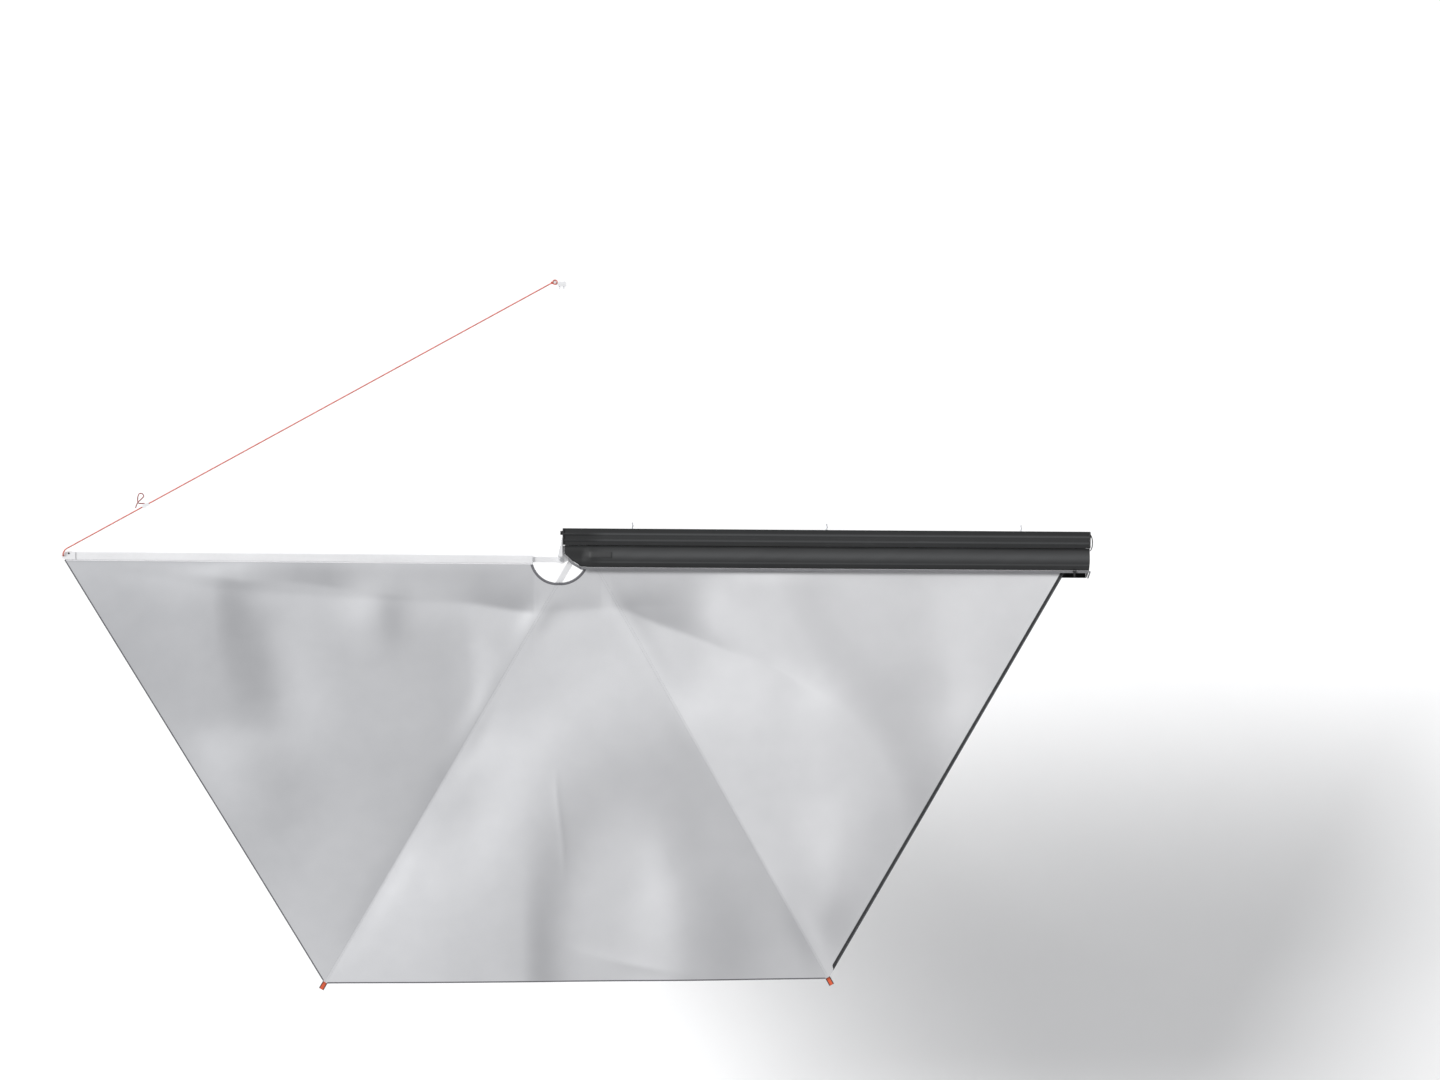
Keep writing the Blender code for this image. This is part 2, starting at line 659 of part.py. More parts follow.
def zip_slider():
    x, depth = SLIDER_X, cover_edge(SLIDER_X) + 0.0018
    low_z = zip_height(x) + ZIP_THICKNESS / 2 + 0.0005
    body = bevel(
        box(
            "zip_slider",
            (x - SLIDER_LENGTH / 2, -depth - SLIDER_WIDTH - 0.001, low_z),
            (x + SLIDER_LENGTH / 2, -depth - 0.001, low_z + SLIDER_HEIGHT),
        ),
        0.001,
        1,
    )
    tab_y = -depth - SLIDER_WIDTH - PULL_TAB_LENGTH / 2 + 0.004
    outline = rounded_rectangle(0.008, PULL_TAB_LENGTH, 0.003, (x, tab_y))
    tab = extrude("zip_pull_tab", [outline], low_z + 0.001, low_z + 0.0028)
    return finish(join(body, tab), black_plastic)


def label_patch():
    """A plain patch sewn on the cover, with nothing on it."""
    shares = np.arange(FIRST_PATCH_STEP, LAST_PATCH_STEP + 1) / COVER_STEPS
    xs = [*cover_stations()[6:8], PATCH_FRONT_X]  # follows the cover's own facets
    grid = np.array([cover_row(x, shares) for x in xs])
    grid[..., 2] += PATCH_LIFT
    return finish(sheet("label_patch", grid, PATCH_THICKNESS), bag_cloth)


def pull_loop():
    """A webbing handle that bows out from the front end."""
    base_x = CASE_FRONT_X + GAP + CAP_THICKNESS + GAP
    wide, reach = PULL_LOOP_HALF_WIDTH, PULL_LOOP_REACH
    outer = [(base_x + reach * s, -PULL_LOOP_DEPTH + wide * c) for c, s in arc((0, 0), 1, 0, 180, 12)]
    wide, reach = wide - WEBBING, reach - WEBBING
    inner = [(base_x + reach * s, -PULL_LOOP_DEPTH + wide * c) for c, s in arc((0, 0), 1, 180, 0, 12)]
    return finish(extrude("pull_loop", [outer + inner], 0.0, PULL_LOOP_HEIGHT), black_webbing)


# The hinge


def lobe_points(start, end, pivot, steps):
    return arc(pivot, LOBE_RADIUS, start, end, steps)


def hinge_outline():
    """The hinge plates in plan: lobes round the three bolts, and a straight edge at the back plate."""
    left, right = BACK_PLATE_X
    back_y = -BACK_PLATE_DEPTH - PLATE - GAP
    along_rear = math.degrees(math.atan2(MID_PIVOT[1] - REAR_PIVOT[1], MID_PIVOT[0] - REAR_PIVOT[0]))
    along_mid = math.degrees(math.atan2(FRONT_PIVOT[1] - MID_PIVOT[1], FRONT_PIVOT[0] - MID_PIVOT[0]))
    beside_cap = -SHELF_DEPTH - 0.0035
    outline = [(right, back_y), (left, back_y), (left, beside_cap), (CASE_REAR_X - 0.009, beside_cap)]
    outline += lobe_points(165, along_rear - 90 + 360, REAR_PIVOT, 8)
    outline += lobe_points(along_rear - 90, along_mid - 90, MID_PIVOT, 3)
    outline += lobe_points(along_mid - 90, 0, FRONT_PIVOT, 4)
    return outline


def hinge_plate(name, low_z):
    holes = [circle(pivot, PIVOT_RADIUS + PIVOT_PLAY) for pivot in (REAR_PIVOT, MID_PIVOT, FRONT_PIVOT)]
    return finish(extrude(name, [hinge_outline(), *holes], low_z, low_z + PLATE), bare_metal)


def hinge_plates():
    hinge_plate("hinge_top_plate", TOP_PLATE_Z)
    hinge_plate("hinge_bottom_plate", BOTTOM_PLATE_Z - PLATE)
    back = box(
        "hinge_back_plate",
        (BACK_PLATE_X[0], -BACK_PLATE_DEPTH - PLATE, BOTTOM_PLATE_Z - PLATE),
        (BACK_PLATE_X[1], -BACK_PLATE_DEPTH, BACK_PLATE_RISE),
    )
    for x in HINGE_BOLT_XS:
        hole = cylinder(f"hinge_bolt_hole_{x}", (x, -0.05, 0.014), HINGE_BOLT_RADIUS + GAP, 0.05, "Y")
        cut(back, hole)
    finish(back, bare_metal)


def hinge_bolts():
    """Screws through the back plate towards the profile's wall, with round heads."""
    for number, x in enumerate(HINGE_BOLT_XS, 1):
        base = (x, -BACK_PLATE_DEPTH - PLATE - 0.005, 0.014)
        bolt = cylinder(f"hinge_bolt_{number}", base, 0.007, 0.0047, "Y", 6)
        shank = cylinder(
            f"hinge_bolt_shank_{number}",
            (x, -BACK_PLATE_DEPTH - PLATE - 0.002, 0.014),
            HINGE_BOLT_RADIUS,
            BACK_PLATE_DEPTH + PLATE + 0.002 - WALL - GAP,
            "Y",
        )
        finish(join(bolt, shank), bolt_steel)


def hinge_gusset():
    """A tapered rib that stands on the top plate beside the case's end."""
    inner_x = CASE_REAR_X - GAP - CAP_THICKNESS - GAP
    left = REAR_PIVOT[0] - LOBE_RADIUS
    outline = [
        (inner_x, -GUSSET_TIP_DEPTH),
        (inner_x - GUSSET_TIP_WIDTH, -GUSSET_TIP_DEPTH),
        (left, -GUSSET_BASE_DEPTH),
        (left + GUSSET_BASE_WIDTH, -GUSSET_BASE_DEPTH),
        (left + GUSSET_BASE_WIDTH, -SHELF_DEPTH - 0.004),
        (inner_x, -SHELF_DEPTH - 0.002),
    ]
    low = TOP_PLATE_Z + PLATE + GAP
    gusset = extrude("hinge_gusset", [outline], low, low + GUSSET_HEIGHT)
    return finish(bevel(gusset, 0.0015, 2), bare_metal)


def pivot_set(name, pivot):
    """A hex bolt down through both plates, with its nut below."""
    head_z = TOP_PLATE_Z + PLATE + GAP
    nut_z = BOTTOM_PLATE_Z - PLATE - GAP - NUT_HEIGHT
    bolt = cylinder(f"{name}_pivot_bolt", (*pivot, head_z), PIVOT_HEAD_RADIUS, PIVOT_HEAD_HEIGHT, "Z", 6)
    shank = cylinder(
        f"{name}_pivot_shank", (*pivot, nut_z - 0.003), PIVOT_RADIUS, head_z + 0.003 - nut_z + 0.003
    )
    finish(join(bolt, shank), bolt_steel)
    nut = cylinder(f"{name}_pivot_nut", (*pivot, nut_z), PIVOT_HEAD_RADIUS, NUT_HEIGHT, "Z", 6)
    bore = cylinder(f"{name}_nut_bore", (*pivot, nut_z - 0.01), PIVOT_RADIUS + PIVOT_PLAY, NUT_HEIGHT + 0.02)
    finish(cut(nut, bore), bolt_steel)


# The arms, each made along +X from its bolt and turned to its open direction


def arm_empty(name, pivot, angle):
    empty = bpy.data.objects.new(f"{name}_axis", None)
    empty.location = (*pivot, 0.0)
    empty.rotation_euler = (0.0, 0.0, math.radians(angle))
    bpy.context.scene.collection.objects.link(empty)
    return empty


def arm(name, tongue_length, length, axis):
    inside_width = ARM_WIDTH - 2 * ARM_WALL - 2 * GAP
    inside_height = ARM_HEIGHT - 2 * ARM_WALL - 2 * GAP
    inside_corner = ARM_CORNER - ARM_WALL
    middle = (0.0, ARM_MID_Z)
    outer = rounded_rectangle(ARM_WIDTH, ARM_HEIGHT, ARM_CORNER, middle)
    inner = rounded_rectangle(ARM_WIDTH - 2 * ARM_WALL, ARM_HEIGHT - 2 * ARM_WALL, inside_corner, middle)
    finish(extrude(f"{name}_arm_tube", [outer, inner], tongue_length, length, "X"), bare_metal, axis)

    half = TONGUE_WIDTH / 2
    turn = math.degrees(math.asin(half / KNUCKLE_RADIUS))
    plan = arc((0, 0), KNUCKLE_RADIUS, turn, 360 - turn, 14)
    plan += [(tongue_length + 0.01, -half), (tongue_length + 0.01, half)]
    low = ARM_MID_Z - TONGUE_HEIGHT / 2
    tongue = extrude(
        f"{name}_arm_tongue", [plan, circle((0, 0), BUSH_RADIUS + GAP)], low, low + TONGUE_HEIGHT
    )
    block = rounded_rectangle(inside_width, inside_height, inside_corner, middle)
    spigot_end = tongue_length + SPIGOT_LENGTH
    spigot = extrude(f"{name}_arm_spigot", [block], tongue_length + 0.002, spigot_end, "X")
    spigot.parent = axis
    finish(join(tongue, spigot), bare_metal, axis)

    plate = extrude(f"{name}_arm_end_cap", [outer], length + GAP, length + END_CAP, "X")
    plug = extrude(f"{name}_arm_end_plug", [block], length - END_PLUG, length + END_CAP / 2, "X")
    plug.parent = axis
    finish(join(plate, plug), black_plastic if name != "rear" else bare_metal, axis)

    sleeve_low = ARM_MID_Z - TONGUE_HEIGHT / 2
    top = ARM_MID_Z + TONGUE_HEIGHT / 2 + GAP
    bush = cylinder(f"{name}_arm_bush", (0, 0, top), BUSH_FLANGE_RADIUS, BUSH_FLANGE - GAP)
    sleeve = cylinder(f"{name}_bush_sleeve", (0, 0, sleeve_low), BUSH_RADIUS, top + 0.001 - sleeve_low)
    bore = cylinder(f"{name}_bush_bore", (0, 0, low - 0.01), PIVOT_RADIUS + PIVOT_PLAY, TONGUE_HEIGHT + 0.03)
    for tool in (sleeve, bore):
        tool.parent = axis
    join(bush, sleeve)
    finish(cut(bush, bore), bush_nylon, axis)


def rope_eye(axis):
    """A plate riveted on the rear arm's end, with the hole that the guy rope comes up through."""
    low = ARM_TOP_Z + GAP
    hole_x = REAR_LENGTH + EYE_HOLE_REACH
    half = EYE_WIDTH / 2
    rivet = (REAR_LENGTH + RIVET_REACH, RIVET_SIDE)
    outline = [(REAR_LENGTH - EYE_OVERLAP, half), (REAR_LENGTH - EYE_OVERLAP, -half)]
    outline += arc((hole_x - 0.009, 0), half, -90, 90, 10)
    holes = [circle((hole_x, 0), EYE_HOLE_RADIUS), circle(rivet, RIVET_RADIUS + GAP)]
    finish(extrude("rope_eye", [outline, *holes], low, low + EYE_PLATE), bare_metal, axis)
    top = low + EYE_PLATE + GAP
    head = cylinder("rope_eye_rivet", (*rivet, top), RIVET_HEAD_RADIUS, 0.0018)
    shank = cylinder("rope_eye_rivet_shank", (*rivet, low + GAP), RIVET_RADIUS, top + 0.001 - low - GAP)
    shank.parent = axis
    finish(join(head, shank), bolt_steel, axis)


# The canopy


def toward(pivot, angle, reach, side=0.0):
    """A point along an arm's line, and this far to its left."""
    c, s = math.cos(math.radians(angle)), math.sin(math.radians(angle))
    return np.array((pivot[0] + reach * c - side * s, pivot[1] + reach * s + side * c))


def circle_meets(pivot, angle, side=0.0):
    """Where a line beside an arm leaves the round cut-out."""
    start = toward(pivot, angle, 0.0, side) - np.array(CUT_OUT_CENTRE)
    step = toward(pivot, angle, 1.0, side) - toward(pivot, angle, 0.0, side)
    along = -start @ step + math.sqrt((start @ step) ** 2 - start @ start + CUT_OUT_RADIUS**2)
    return np.array(CUT_OUT_CENTRE) + start + along * step


def fold(x, y, start, end, width, height):
    """A rounded ridge (or, with a negative height, a valley) along a line that fades at its ends."""
    start, end = np.array(start), np.array(end)
    line = end - start
    length = np.linalg.norm(line)
    along = ((x - start[0]) * line[0] + (y - start[1]) * line[1]) / length
    across = ((x - start[0]) * line[1] - (y - start[1]) * line[0]) / length
    middle, half = length / 2, length / 2
    return height * np.exp(-((across / width) ** 2)) * np.exp(-(((along - middle) / half) ** 4))


# The canopy's main folds, from the case's rear end: start, end, half width, height
FOLDS = (
    ((-2.17, -0.36), (-0.14, -0.44), 0.11, 0.022),
    ((0.03, -0.40), (1.08, -0.86), 0.10, 0.020),
    ((-1.62, -0.35), (-1.50, -1.00), 0.16, -0.026),
    ((-0.82, -0.40), (-0.77, -0.90), 0.15, -0.020),
    ((-1.67, -1.40), (-1.42, -0.95), 0.20, 0.020),
    ((-0.27, -2.25), (-0.14, -1.40), 0.12, 0.026),
    ((0.16, -2.25), (0.28, -1.30), 0.15, -0.022),
    ((0.50, -2.25), (0.33, -1.20), 0.14, 0.028),
    ((1.18, -1.60), (0.68, -0.80), 0.16, 0.022),
    ((1.58, -1.40), (1.83, -0.70), 0.14, 0.020),
)


def canopy_height(x, y, free):
    """The cloth's height where free is 1, and just above the arms where it is 0."""
    lift = sum(fold(x - CASE_REAR_X, y, *spec) for spec in FOLDS)
    return CANOPY_Z + free * lift


def spread(corners, count):
    """Points along a line through these corners: evenly spaced, but with every corner kept.

    The count is for the longest stretch. Returns the points and each one's share of the way.
    """
    corners = np.array(corners, float)
    lengths = np.linalg.norm(np.diff(corners, axis=0), axis=1)
    points = [corners[0]]
    for a, b, length in zip(corners, corners[1:], lengths):
        steps = count if length == lengths.max() else 1
        points += [a + (b - a) * i / steps for i in range(1, steps + 1)]
    points = np.array(points)
    along = np.concatenate([[0], np.cumsum(np.linalg.norm(np.diff(points, axis=0), axis=1))])
    return points, along / along[-1]


def fan_panel(name, inner, corners, rows, columns, edge_drop=0.0):
    """Cloth from an inner edge, given as a function of a share, to an outer line of corners."""
    outer, across = spread(corners, columns)
    inner = np.array([inner(share) for share in across])
    out = np.linspace(0, 1, rows)[:, None, None]
    plan = (1 - out) * inner[None] + out * outer[None]
    down = out[:, :, 0]
    free = np.minimum(1.0, 4 * np.minimum(across, 1 - across))[None, :] * np.ones((rows, 1))
    free = free * np.minimum(1.0, 5 * down) * (0.35 + 0.65 * np.minimum(1.0, 4 * (1 - down)))
    z = canopy_height(plan[..., 0], plan[..., 1], free)
    z = z - edge_drop * np.maximum(0.0, 1 - 12 * across)[None, :]
    return sheet(name, np.dstack([plan, z]), CANOPY_CLOTH)


def cut_out_arc(start, end):
    """The cut-out's edge between two points, its radius changing evenly, as a function of a share."""
    centre = np.array(CUT_OUT_CENTRE)
    a, b = start - centre, end - centre
    angle_a, angle_b = math.atan2(a[1], a[0]), math.atan2(b[1], b[0])
    if angle_b < angle_a:
        angle_b += 2 * math.pi
    radius_a, radius_b = np.linalg.norm(a), np.linalg.norm(b)

    def place(share):
        angle = angle_a * (1 - share) + angle_b * share
        radius = radius_a * (1 - share) + radius_b * share
        return centre + radius * np.array((math.cos(angle), math.sin(angle)))

    return place


def band_line():
    """The band's outer edge and the step across to its inner edge."""
    corner = toward(FRONT_PIVOT, FRONT_ANGLE, CORNER_REACH_FRONT, CORNER_CUT)
    end = np.array(BAND_END)
    along = (end - corner) / np.linalg.norm(end - corner)
    return corner + BAND_FROM_CORNER * along, end, along, np.array((-along[1], along[0]))


def canopy(rear_axis, mid_axis):
    """Three fan panels. Each is moved by one body, and the cloth folds as the arms close."""
    edge = ARM_WIDTH / 2 + 0.001
    sides = (-CORNER_CUT, -SEAM, SEAM, CORNER_CUT)
    mid_corner = [toward(MID_PIVOT, MID_ANGLE, CORNER_REACH_MID, side) for side in sides]
    front_corner = [toward(FRONT_PIVOT, FRONT_ANGLE, CORNER_REACH_FRONT, side) for side in sides]
    rear_in = circle_meets(REAR_PIVOT, REAR_ANGLE, edge)
    rear_out = toward(REAR_PIVOT, REAR_ANGLE, CORNER_REACH_REAR, edge)
    mid_in = circle_meets(MID_PIVOT, MID_ANGLE, -SEAM)
    rear = fan_panel(
        "canopy_rear_panel", cut_out_arc(rear_in, mid_in), [rear_out, *mid_corner[:2]], 25, 16, 0.012
    )
    mid_in = circle_meets(MID_PIVOT, MID_ANGLE, SEAM)
    front_in = toward(FRONT_PIVOT, FRONT_ANGLE, FRONT_START, -SEAM)
    middle = fan_panel(
        "canopy_mid_panel", cut_out_arc(mid_in, front_in), [*mid_corner[2:], *front_corner[:2]], 25, 17
    )
    front_in = toward(FRONT_PIVOT, FRONT_ANGLE, FRONT_START, SEAM)
    case_in = np.array((INNER_EDGE_X[0], -INNER_EDGE_DEPTH))
    start, end, along, across = band_line()
    inner_start = start + (BAND_WIDTH + GAP) * across + BAND_TAPER * along
    case_out = np.array((INNER_EDGE_X[1], -INNER_EDGE_DEPTH))
    front = fan_panel(
        "canopy_front_panel",
        lambda share: front_in * (1 - share) + case_in * share,
        [*front_corner[2:], start - 0.0006 * along, inner_start, case_out],
        25,
        13,
    )
    for panel in (rear, middle, front):
        finish(smooth(panel, 60), canopy_cloth)
    for panel, axis in ((rear, rear_axis), (middle, mid_axis)):
        panel.parent = axis
        panel.matrix_parent_inverse = (
            Matrix.Translation(axis.location) @ axis.rotation_euler.to_matrix().to_4x4()
        ).inverted()


def edge_band():
    """The black band sewn along the canopy's front edge."""
    start, end, along, across = band_line()
    shortened = (end - start) @ along - BAND_WIDTH * across[1] / along[1]
    outline = [start, end, start + shortened * along + BAND_WIDTH * across]
    outline += [start + BAND_WIDTH * across + (BAND_TAPER + BAND_INNER_LEAD) * along]
    low = CANOPY_Z - BAND_THICKNESS / 2
    band = extrude("canopy_edge_band", [[tuple(p) for p in outline]], low, low + BAND_THICKNESS)
    return finish(band, black_webbing)


def corner_tab(name, length, corner_reach, axis):
    """A webbing loop from the arm's end cap out and back to the canopy's corner."""
    near, t = length + END_CAP + GAP, TAB_THICKNESS
    out, high = corner_reach + TAB_REACH, CANOPY_Z + t / 2
    low_z = ARM_MID_Z
    outline = [
        (near, low_z), (near + t, low_z), (near + t, -0.006), (out, high - t - 0.003),
        (out + 0.002, high - 0.002), (out, high), (corner_reach + 0.002, high),
        (corner_reach + 0.002, high - t), (out - 0.006, high - t),
        (out - 0.006, high - t - 0.0015), (near, -0.003),
    ]
    tab = extrude(name, [outline], -TAB_WIDTH / 2, TAB_WIDTH / 2)
    tab.data.transform(Matrix(((1, 0, 0, 0), (0, 0, -1, 0), (0, 1, 0, 0), (0, 0, 0, 1))))
    return finish(tab, orange_webbing, axis)


# The guy rope


def rope_plan():
    """The bend beside the eye, and the straight part's two ends."""
    eye = toward(REAR_PIVOT, REAR_ANGLE, REAR_LENGTH + EYE_HOLE_REACH)
    bend = eye + np.array(ROPE_BEND)
    return eye, bend, bend[-1], np.array(ANCHOR_POST) + np.array(ROPE_END)


def rope_points():
    """Up through the eye, over, and along the taut line."""
    eye, bend, leaves, arrives = rope_plan()
    straight = [leaves + (arrives - leaves) * share for share in (0.025, 0.16, 0.34, 0.55, 0.77, 1.0)]
    plan = smooth_route([*bend, *straight], ROPE_STEPS)
    start = plan[0]
    rise = [(*eye, -0.0002), (*eye, 0.0035), (*(0.86 * eye + 0.14 * start), 0.0085)]
    rise += [(*(0.5 * eye + 0.5 * start), 0.0120)]
    return rise + [(*p, ROPE_Z) for p in plan]


def guy_rope():
    rope = finish(tube("guy_rope", rope_points(), ROPE_RADIUS), rope_red)
    eye = rope_plan()[0]
    work = bmesh.new()
    bmesh.ops.create_uvsphere(work, u_segments=12, v_segments=8, radius=KNOT_RADIUS)
    bmesh.ops.scale(work, vec=(1, 1, 0.8), verts=work.verts)
    bmesh.ops.translate(work, vec=(*eye, -0.0008 - 0.8 * KNOT_RADIUS), verts=work.verts)
    finish(smooth(from_bmesh("rope_knot", work)), rope_red)
    post = np.array(ANCHOR_POST)
    ring = [(*p, ROPE_Z) for p in circle(post, ANCHOR_LOOP_RADIUS, 24)]
    loop = tube("rope_anchor_loop", ring, TAIL_RADIUS)
    loop.data.splines[0].use_cyclic_u = True
    finish(loop, rope_red)
    return rope


def tensioner_axes():
    """A frame on the rope's straight part, with X along it."""
    leaves, arrives = rope_plan()[2:]
    line = (arrives - leaves) / np.linalg.norm(arrives - leaves)
    place = leaves + TENSIONER_ALONG * line
    return Matrix.Translation((*place, ROPE_Z)) @ Matrix.Rotation(math.atan2(line[1], line[0]), 4, "Z")


def tensioner():
    """A short bar with a bore for the rope, and the rope's tail loop beside it."""
    half = TENSIONER_LENGTH / 2
    outline = rounded_rectangle(TENSIONER_LENGTH, TENSIONER_WIDTH, 0.005)
    body = extrude("rope_tensioner", [outline], -TENSIONER_HEIGHT / 2, TENSIONER_HEIGHT / 2)
    bore = cylinder("tensioner_bore", (-half - 0.01, 0, 0), TENSIONER_BORE, TENSIONER_LENGTH + 0.02, "X")
    axes = bpy.data.objects.new("tensioner_axis", None)
    axes.matrix_world = tensioner_axes()
    bpy.context.scene.collection.objects.link(axes)
    bore.parent = axes
    finish(cut(body, bore), bare_metal, axes)
    tail = tube("tensioner_tail", smooth_route(TAIL_ROUTE, 30), TAIL_RADIUS)
    finish(tail, rope_red, axes)


def rack_anchor():
    """A small bracket for the rack's far side, with a post for the rope's loop."""
    low_z, high_z = ROPE_Z - ANCHOR_BODY_HALF_HEIGHT, ROPE_Z + ANCHOR_BODY_HALF_HEIGHT
    low, high = zip(ANCHOR_BODY_X, ANCHOR_BODY_Y, (low_z, high_z))
    body = box("rack_anchor", low, high)
    x, y = ANCHOR_POST
    bar_z = ROPE_Z - TAIL_RADIUS - GAP - ANCHOR_BAR_THICKNESS
    reach = ANCHOR_POST_RADIUS + ANCHOR_BAR_REACH
    side_x, behind = ANCHOR_BODY_X[0], ANCHOR_BODY_Y[1] - 0.0005
    outline = [(side_x + 0.012, y - 0.006), (side_x + 0.012, behind), (side_x - 0.001, behind)]
    outline += [(side_x - 0.003, y + reach), (x, y + reach)]
    outline += arc((x, y), reach, 90, 270, 8)[1:]
    outline += [(side_x - 0.002, y - reach)]
    bar = extrude("rack_anchor_bar", [outline], bar_z, bar_z + ANCHOR_BAR_THICKNESS)
    post = cylinder("rack_anchor_post", (x, y, bar_z + 0.001), ANCHOR_POST_RADIUS, 0.016)
    join(body, bar)
    finish(join(body, post), bare_metal)
    thick = ANCHOR_BODY_Y[1] - ANCHOR_BODY_Y[0]
    for number, bolt_x in enumerate(ANCHOR_BOLT_XS, 1):
        base = (bolt_x, ANCHOR_BODY_Y[0] - ANCHOR_BOLT_REACH, ROPE_Z)
        long = thick + 2 * ANCHOR_BOLT_REACH
        cut(body, cylinder(f"anchor_bolt_hole_{number}", base, ANCHOR_BOLT_RADIUS + GAP, long, "Y"))
        head_base = (bolt_x, ANCHOR_BODY_Y[1] + GAP, ROPE_Z)
        bolt = cylinder(f"anchor_bolt_{number}", head_base, ANCHOR_HEAD_RADIUS, ANCHOR_HEAD_HEIGHT, "Y")
        shank = cylinder(
            f"anchor_bolt_shank_{number}", base, ANCHOR_BOLT_RADIUS, thick + ANCHOR_BOLT_REACH + 0.001, "Y"
        )
        finish(join(bolt, shank), bolt_steel)


def build():
    back_profile()
    end_caps()
    rack_bolts()
    keder_rail()
    bag_cover()
    bag_front_end()
    bag_flap()
    bag_zip()
    zip_slider()
    label_patch()
    pull_loop()
    hinge_plates()
    hinge_bolts()
    hinge_gusset()
    axes = {}
    for name, pivot, angle, tongue, length in (
        ("rear", REAR_PIVOT, REAR_ANGLE, REAR_TONGUE, REAR_LENGTH),
        ("mid", MID_PIVOT, MID_ANGLE, MID_TONGUE, MID_LENGTH),
        ("front", FRONT_PIVOT, FRONT_ANGLE, FRONT_TONGUE, FRONT_LENGTH),
    ):
        pivot_set(name, pivot)
        axes[name] = arm_empty(name, pivot, angle)
        arm(name, tongue, length, axes[name])
    rope_eye(axes["rear"])
    canopy(axes["rear"], axes["mid"])
    edge_band()
    corner_tab("mid_corner_tab", MID_LENGTH, CORNER_REACH_MID, axes["mid"])
    corner_tab("front_corner_tab", FRONT_LENGTH, CORNER_REACH_FRONT, axes["front"])
    guy_rope()
    tensioner()
    rack_anchor()


build()
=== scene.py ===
# Looks of the opened fan awning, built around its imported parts. Metres, in the parts' own frame.
import math

import bpy
import numpy as np
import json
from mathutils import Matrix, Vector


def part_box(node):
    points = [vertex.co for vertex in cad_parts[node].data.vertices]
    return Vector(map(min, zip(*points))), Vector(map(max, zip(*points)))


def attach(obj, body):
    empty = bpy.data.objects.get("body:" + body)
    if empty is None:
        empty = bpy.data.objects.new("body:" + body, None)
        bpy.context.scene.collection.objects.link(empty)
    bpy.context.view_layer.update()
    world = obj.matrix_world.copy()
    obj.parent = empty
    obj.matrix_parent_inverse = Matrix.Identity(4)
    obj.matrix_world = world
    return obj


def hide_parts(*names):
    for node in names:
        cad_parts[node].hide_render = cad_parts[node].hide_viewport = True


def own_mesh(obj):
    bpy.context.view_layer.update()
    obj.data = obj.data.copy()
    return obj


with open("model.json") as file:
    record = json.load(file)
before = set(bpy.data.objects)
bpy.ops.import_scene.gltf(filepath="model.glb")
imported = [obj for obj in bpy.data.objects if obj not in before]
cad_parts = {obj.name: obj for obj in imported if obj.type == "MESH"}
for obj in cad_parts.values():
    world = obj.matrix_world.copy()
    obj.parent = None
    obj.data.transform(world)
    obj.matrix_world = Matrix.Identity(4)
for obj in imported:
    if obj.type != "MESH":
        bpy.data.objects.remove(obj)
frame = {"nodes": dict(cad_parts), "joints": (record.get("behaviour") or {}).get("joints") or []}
nodes = frame["nodes"]
joints = {joint["name"]: joint for joint in frame["joints"]}
print("frame loaded,", len(nodes), "parts")


# Places read from the frame

def openAngle(name):  # an arm is drawn open, so its range brings it back to the case at 0 degrees
    return -math.radians(joints[name]["range_deg"][1])


caseRear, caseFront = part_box("back_profile")[0].x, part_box("back_profile")[1].x
arms = {
    name: dict(pivot=joints[name + "_arm_swing"]["pos_m"][:2], angle=openAngle(name + "_arm_swing"))
    for name in ("rear", "mid", "front")
}


def beside(armName, reach, side=0.0):  # a point this far out along an arm's line, and this far to its left
    arm = arms[armName]
    c, s = math.cos(arm["angle"]), math.sin(arm["angle"])
    return np.array((arm["pivot"][0] + reach * c - side * s, arm["pivot"][1] + reach * s + side * c))


# Mesh tools

def smoothStep(t):
    t = np.clip(t, 0.0, 1.0)
    return t * t * (3 - 2 * t)


def curveThrough(points, count):  # Catmull-Rom through the points, read again at even steps
    points = np.array(points, float)
    ends = np.vstack([2 * points[0] - points[1], points, 2 * points[-1] - points[-2]])
    t = np.linspace(0, 1, 24, endpoint=False)[None, :, None]
    a, b, c, d = (ends[k:len(points) - 1 + k][:, None] for k in range(4))
    fine = 0.5 * (2 * b + (c - a) * t + (2 * a - 5 * b + 4 * c - d) * t**2 + (3 * b - a - 3 * c + d) * t**3)
    return evenSteps(np.vstack([fine.reshape(-1, points.shape[1]), points[-1]]), count)


def distances(path):
    return np.concatenate([[0.0], np.cumsum(np.linalg.norm(np.diff(path, axis=0), axis=1))])


def evenSteps(path, count):
    run = distances(path)
    at = np.linspace(0, run[-1], count)
    return np.stack([np.interp(at, run, path[:, k]) for k in range(path.shape[1])], axis=1)


def meshPiece(name, verts, faces, material, uv=None, smooth=True):
    mesh = bpy.data.meshes.new(name)
    mesh.from_pydata(verts.tolist(), [], faces if isinstance(faces, list) else faces.tolist())
    if uv is not None:
        loops = np.empty(len(mesh.loops), np.int32)
        mesh.loops.foreach_get("vertex_index", loops)
        layer = mesh.uv_layers.new(name="fabric")
        layer.data.foreach_set("uv", uv[loops].astype(np.float32).ravel())
    mesh.polygons.foreach_set("use_smooth", np.full(len(mesh.polygons), smooth))
    mesh.materials.append(material)
    piece = bpy.data.objects.new(name, mesh)
    bpy.context.scene.collection.objects.link(piece)
    return piece


def gridFaces(rows, cols, wrap=False):  # quads of a grid, its columns joined into a ring where wrap is set
    i = np.arange(rows - 1)[:, None]
    j = np.arange(cols if wrap else cols - 1)[None, :]
    k = (j + 1) % cols
    return np.stack([i * cols + j, (i + 1) * cols + j, (i + 1) * cols + k, i * cols + k], -1).reshape(-1, 4)


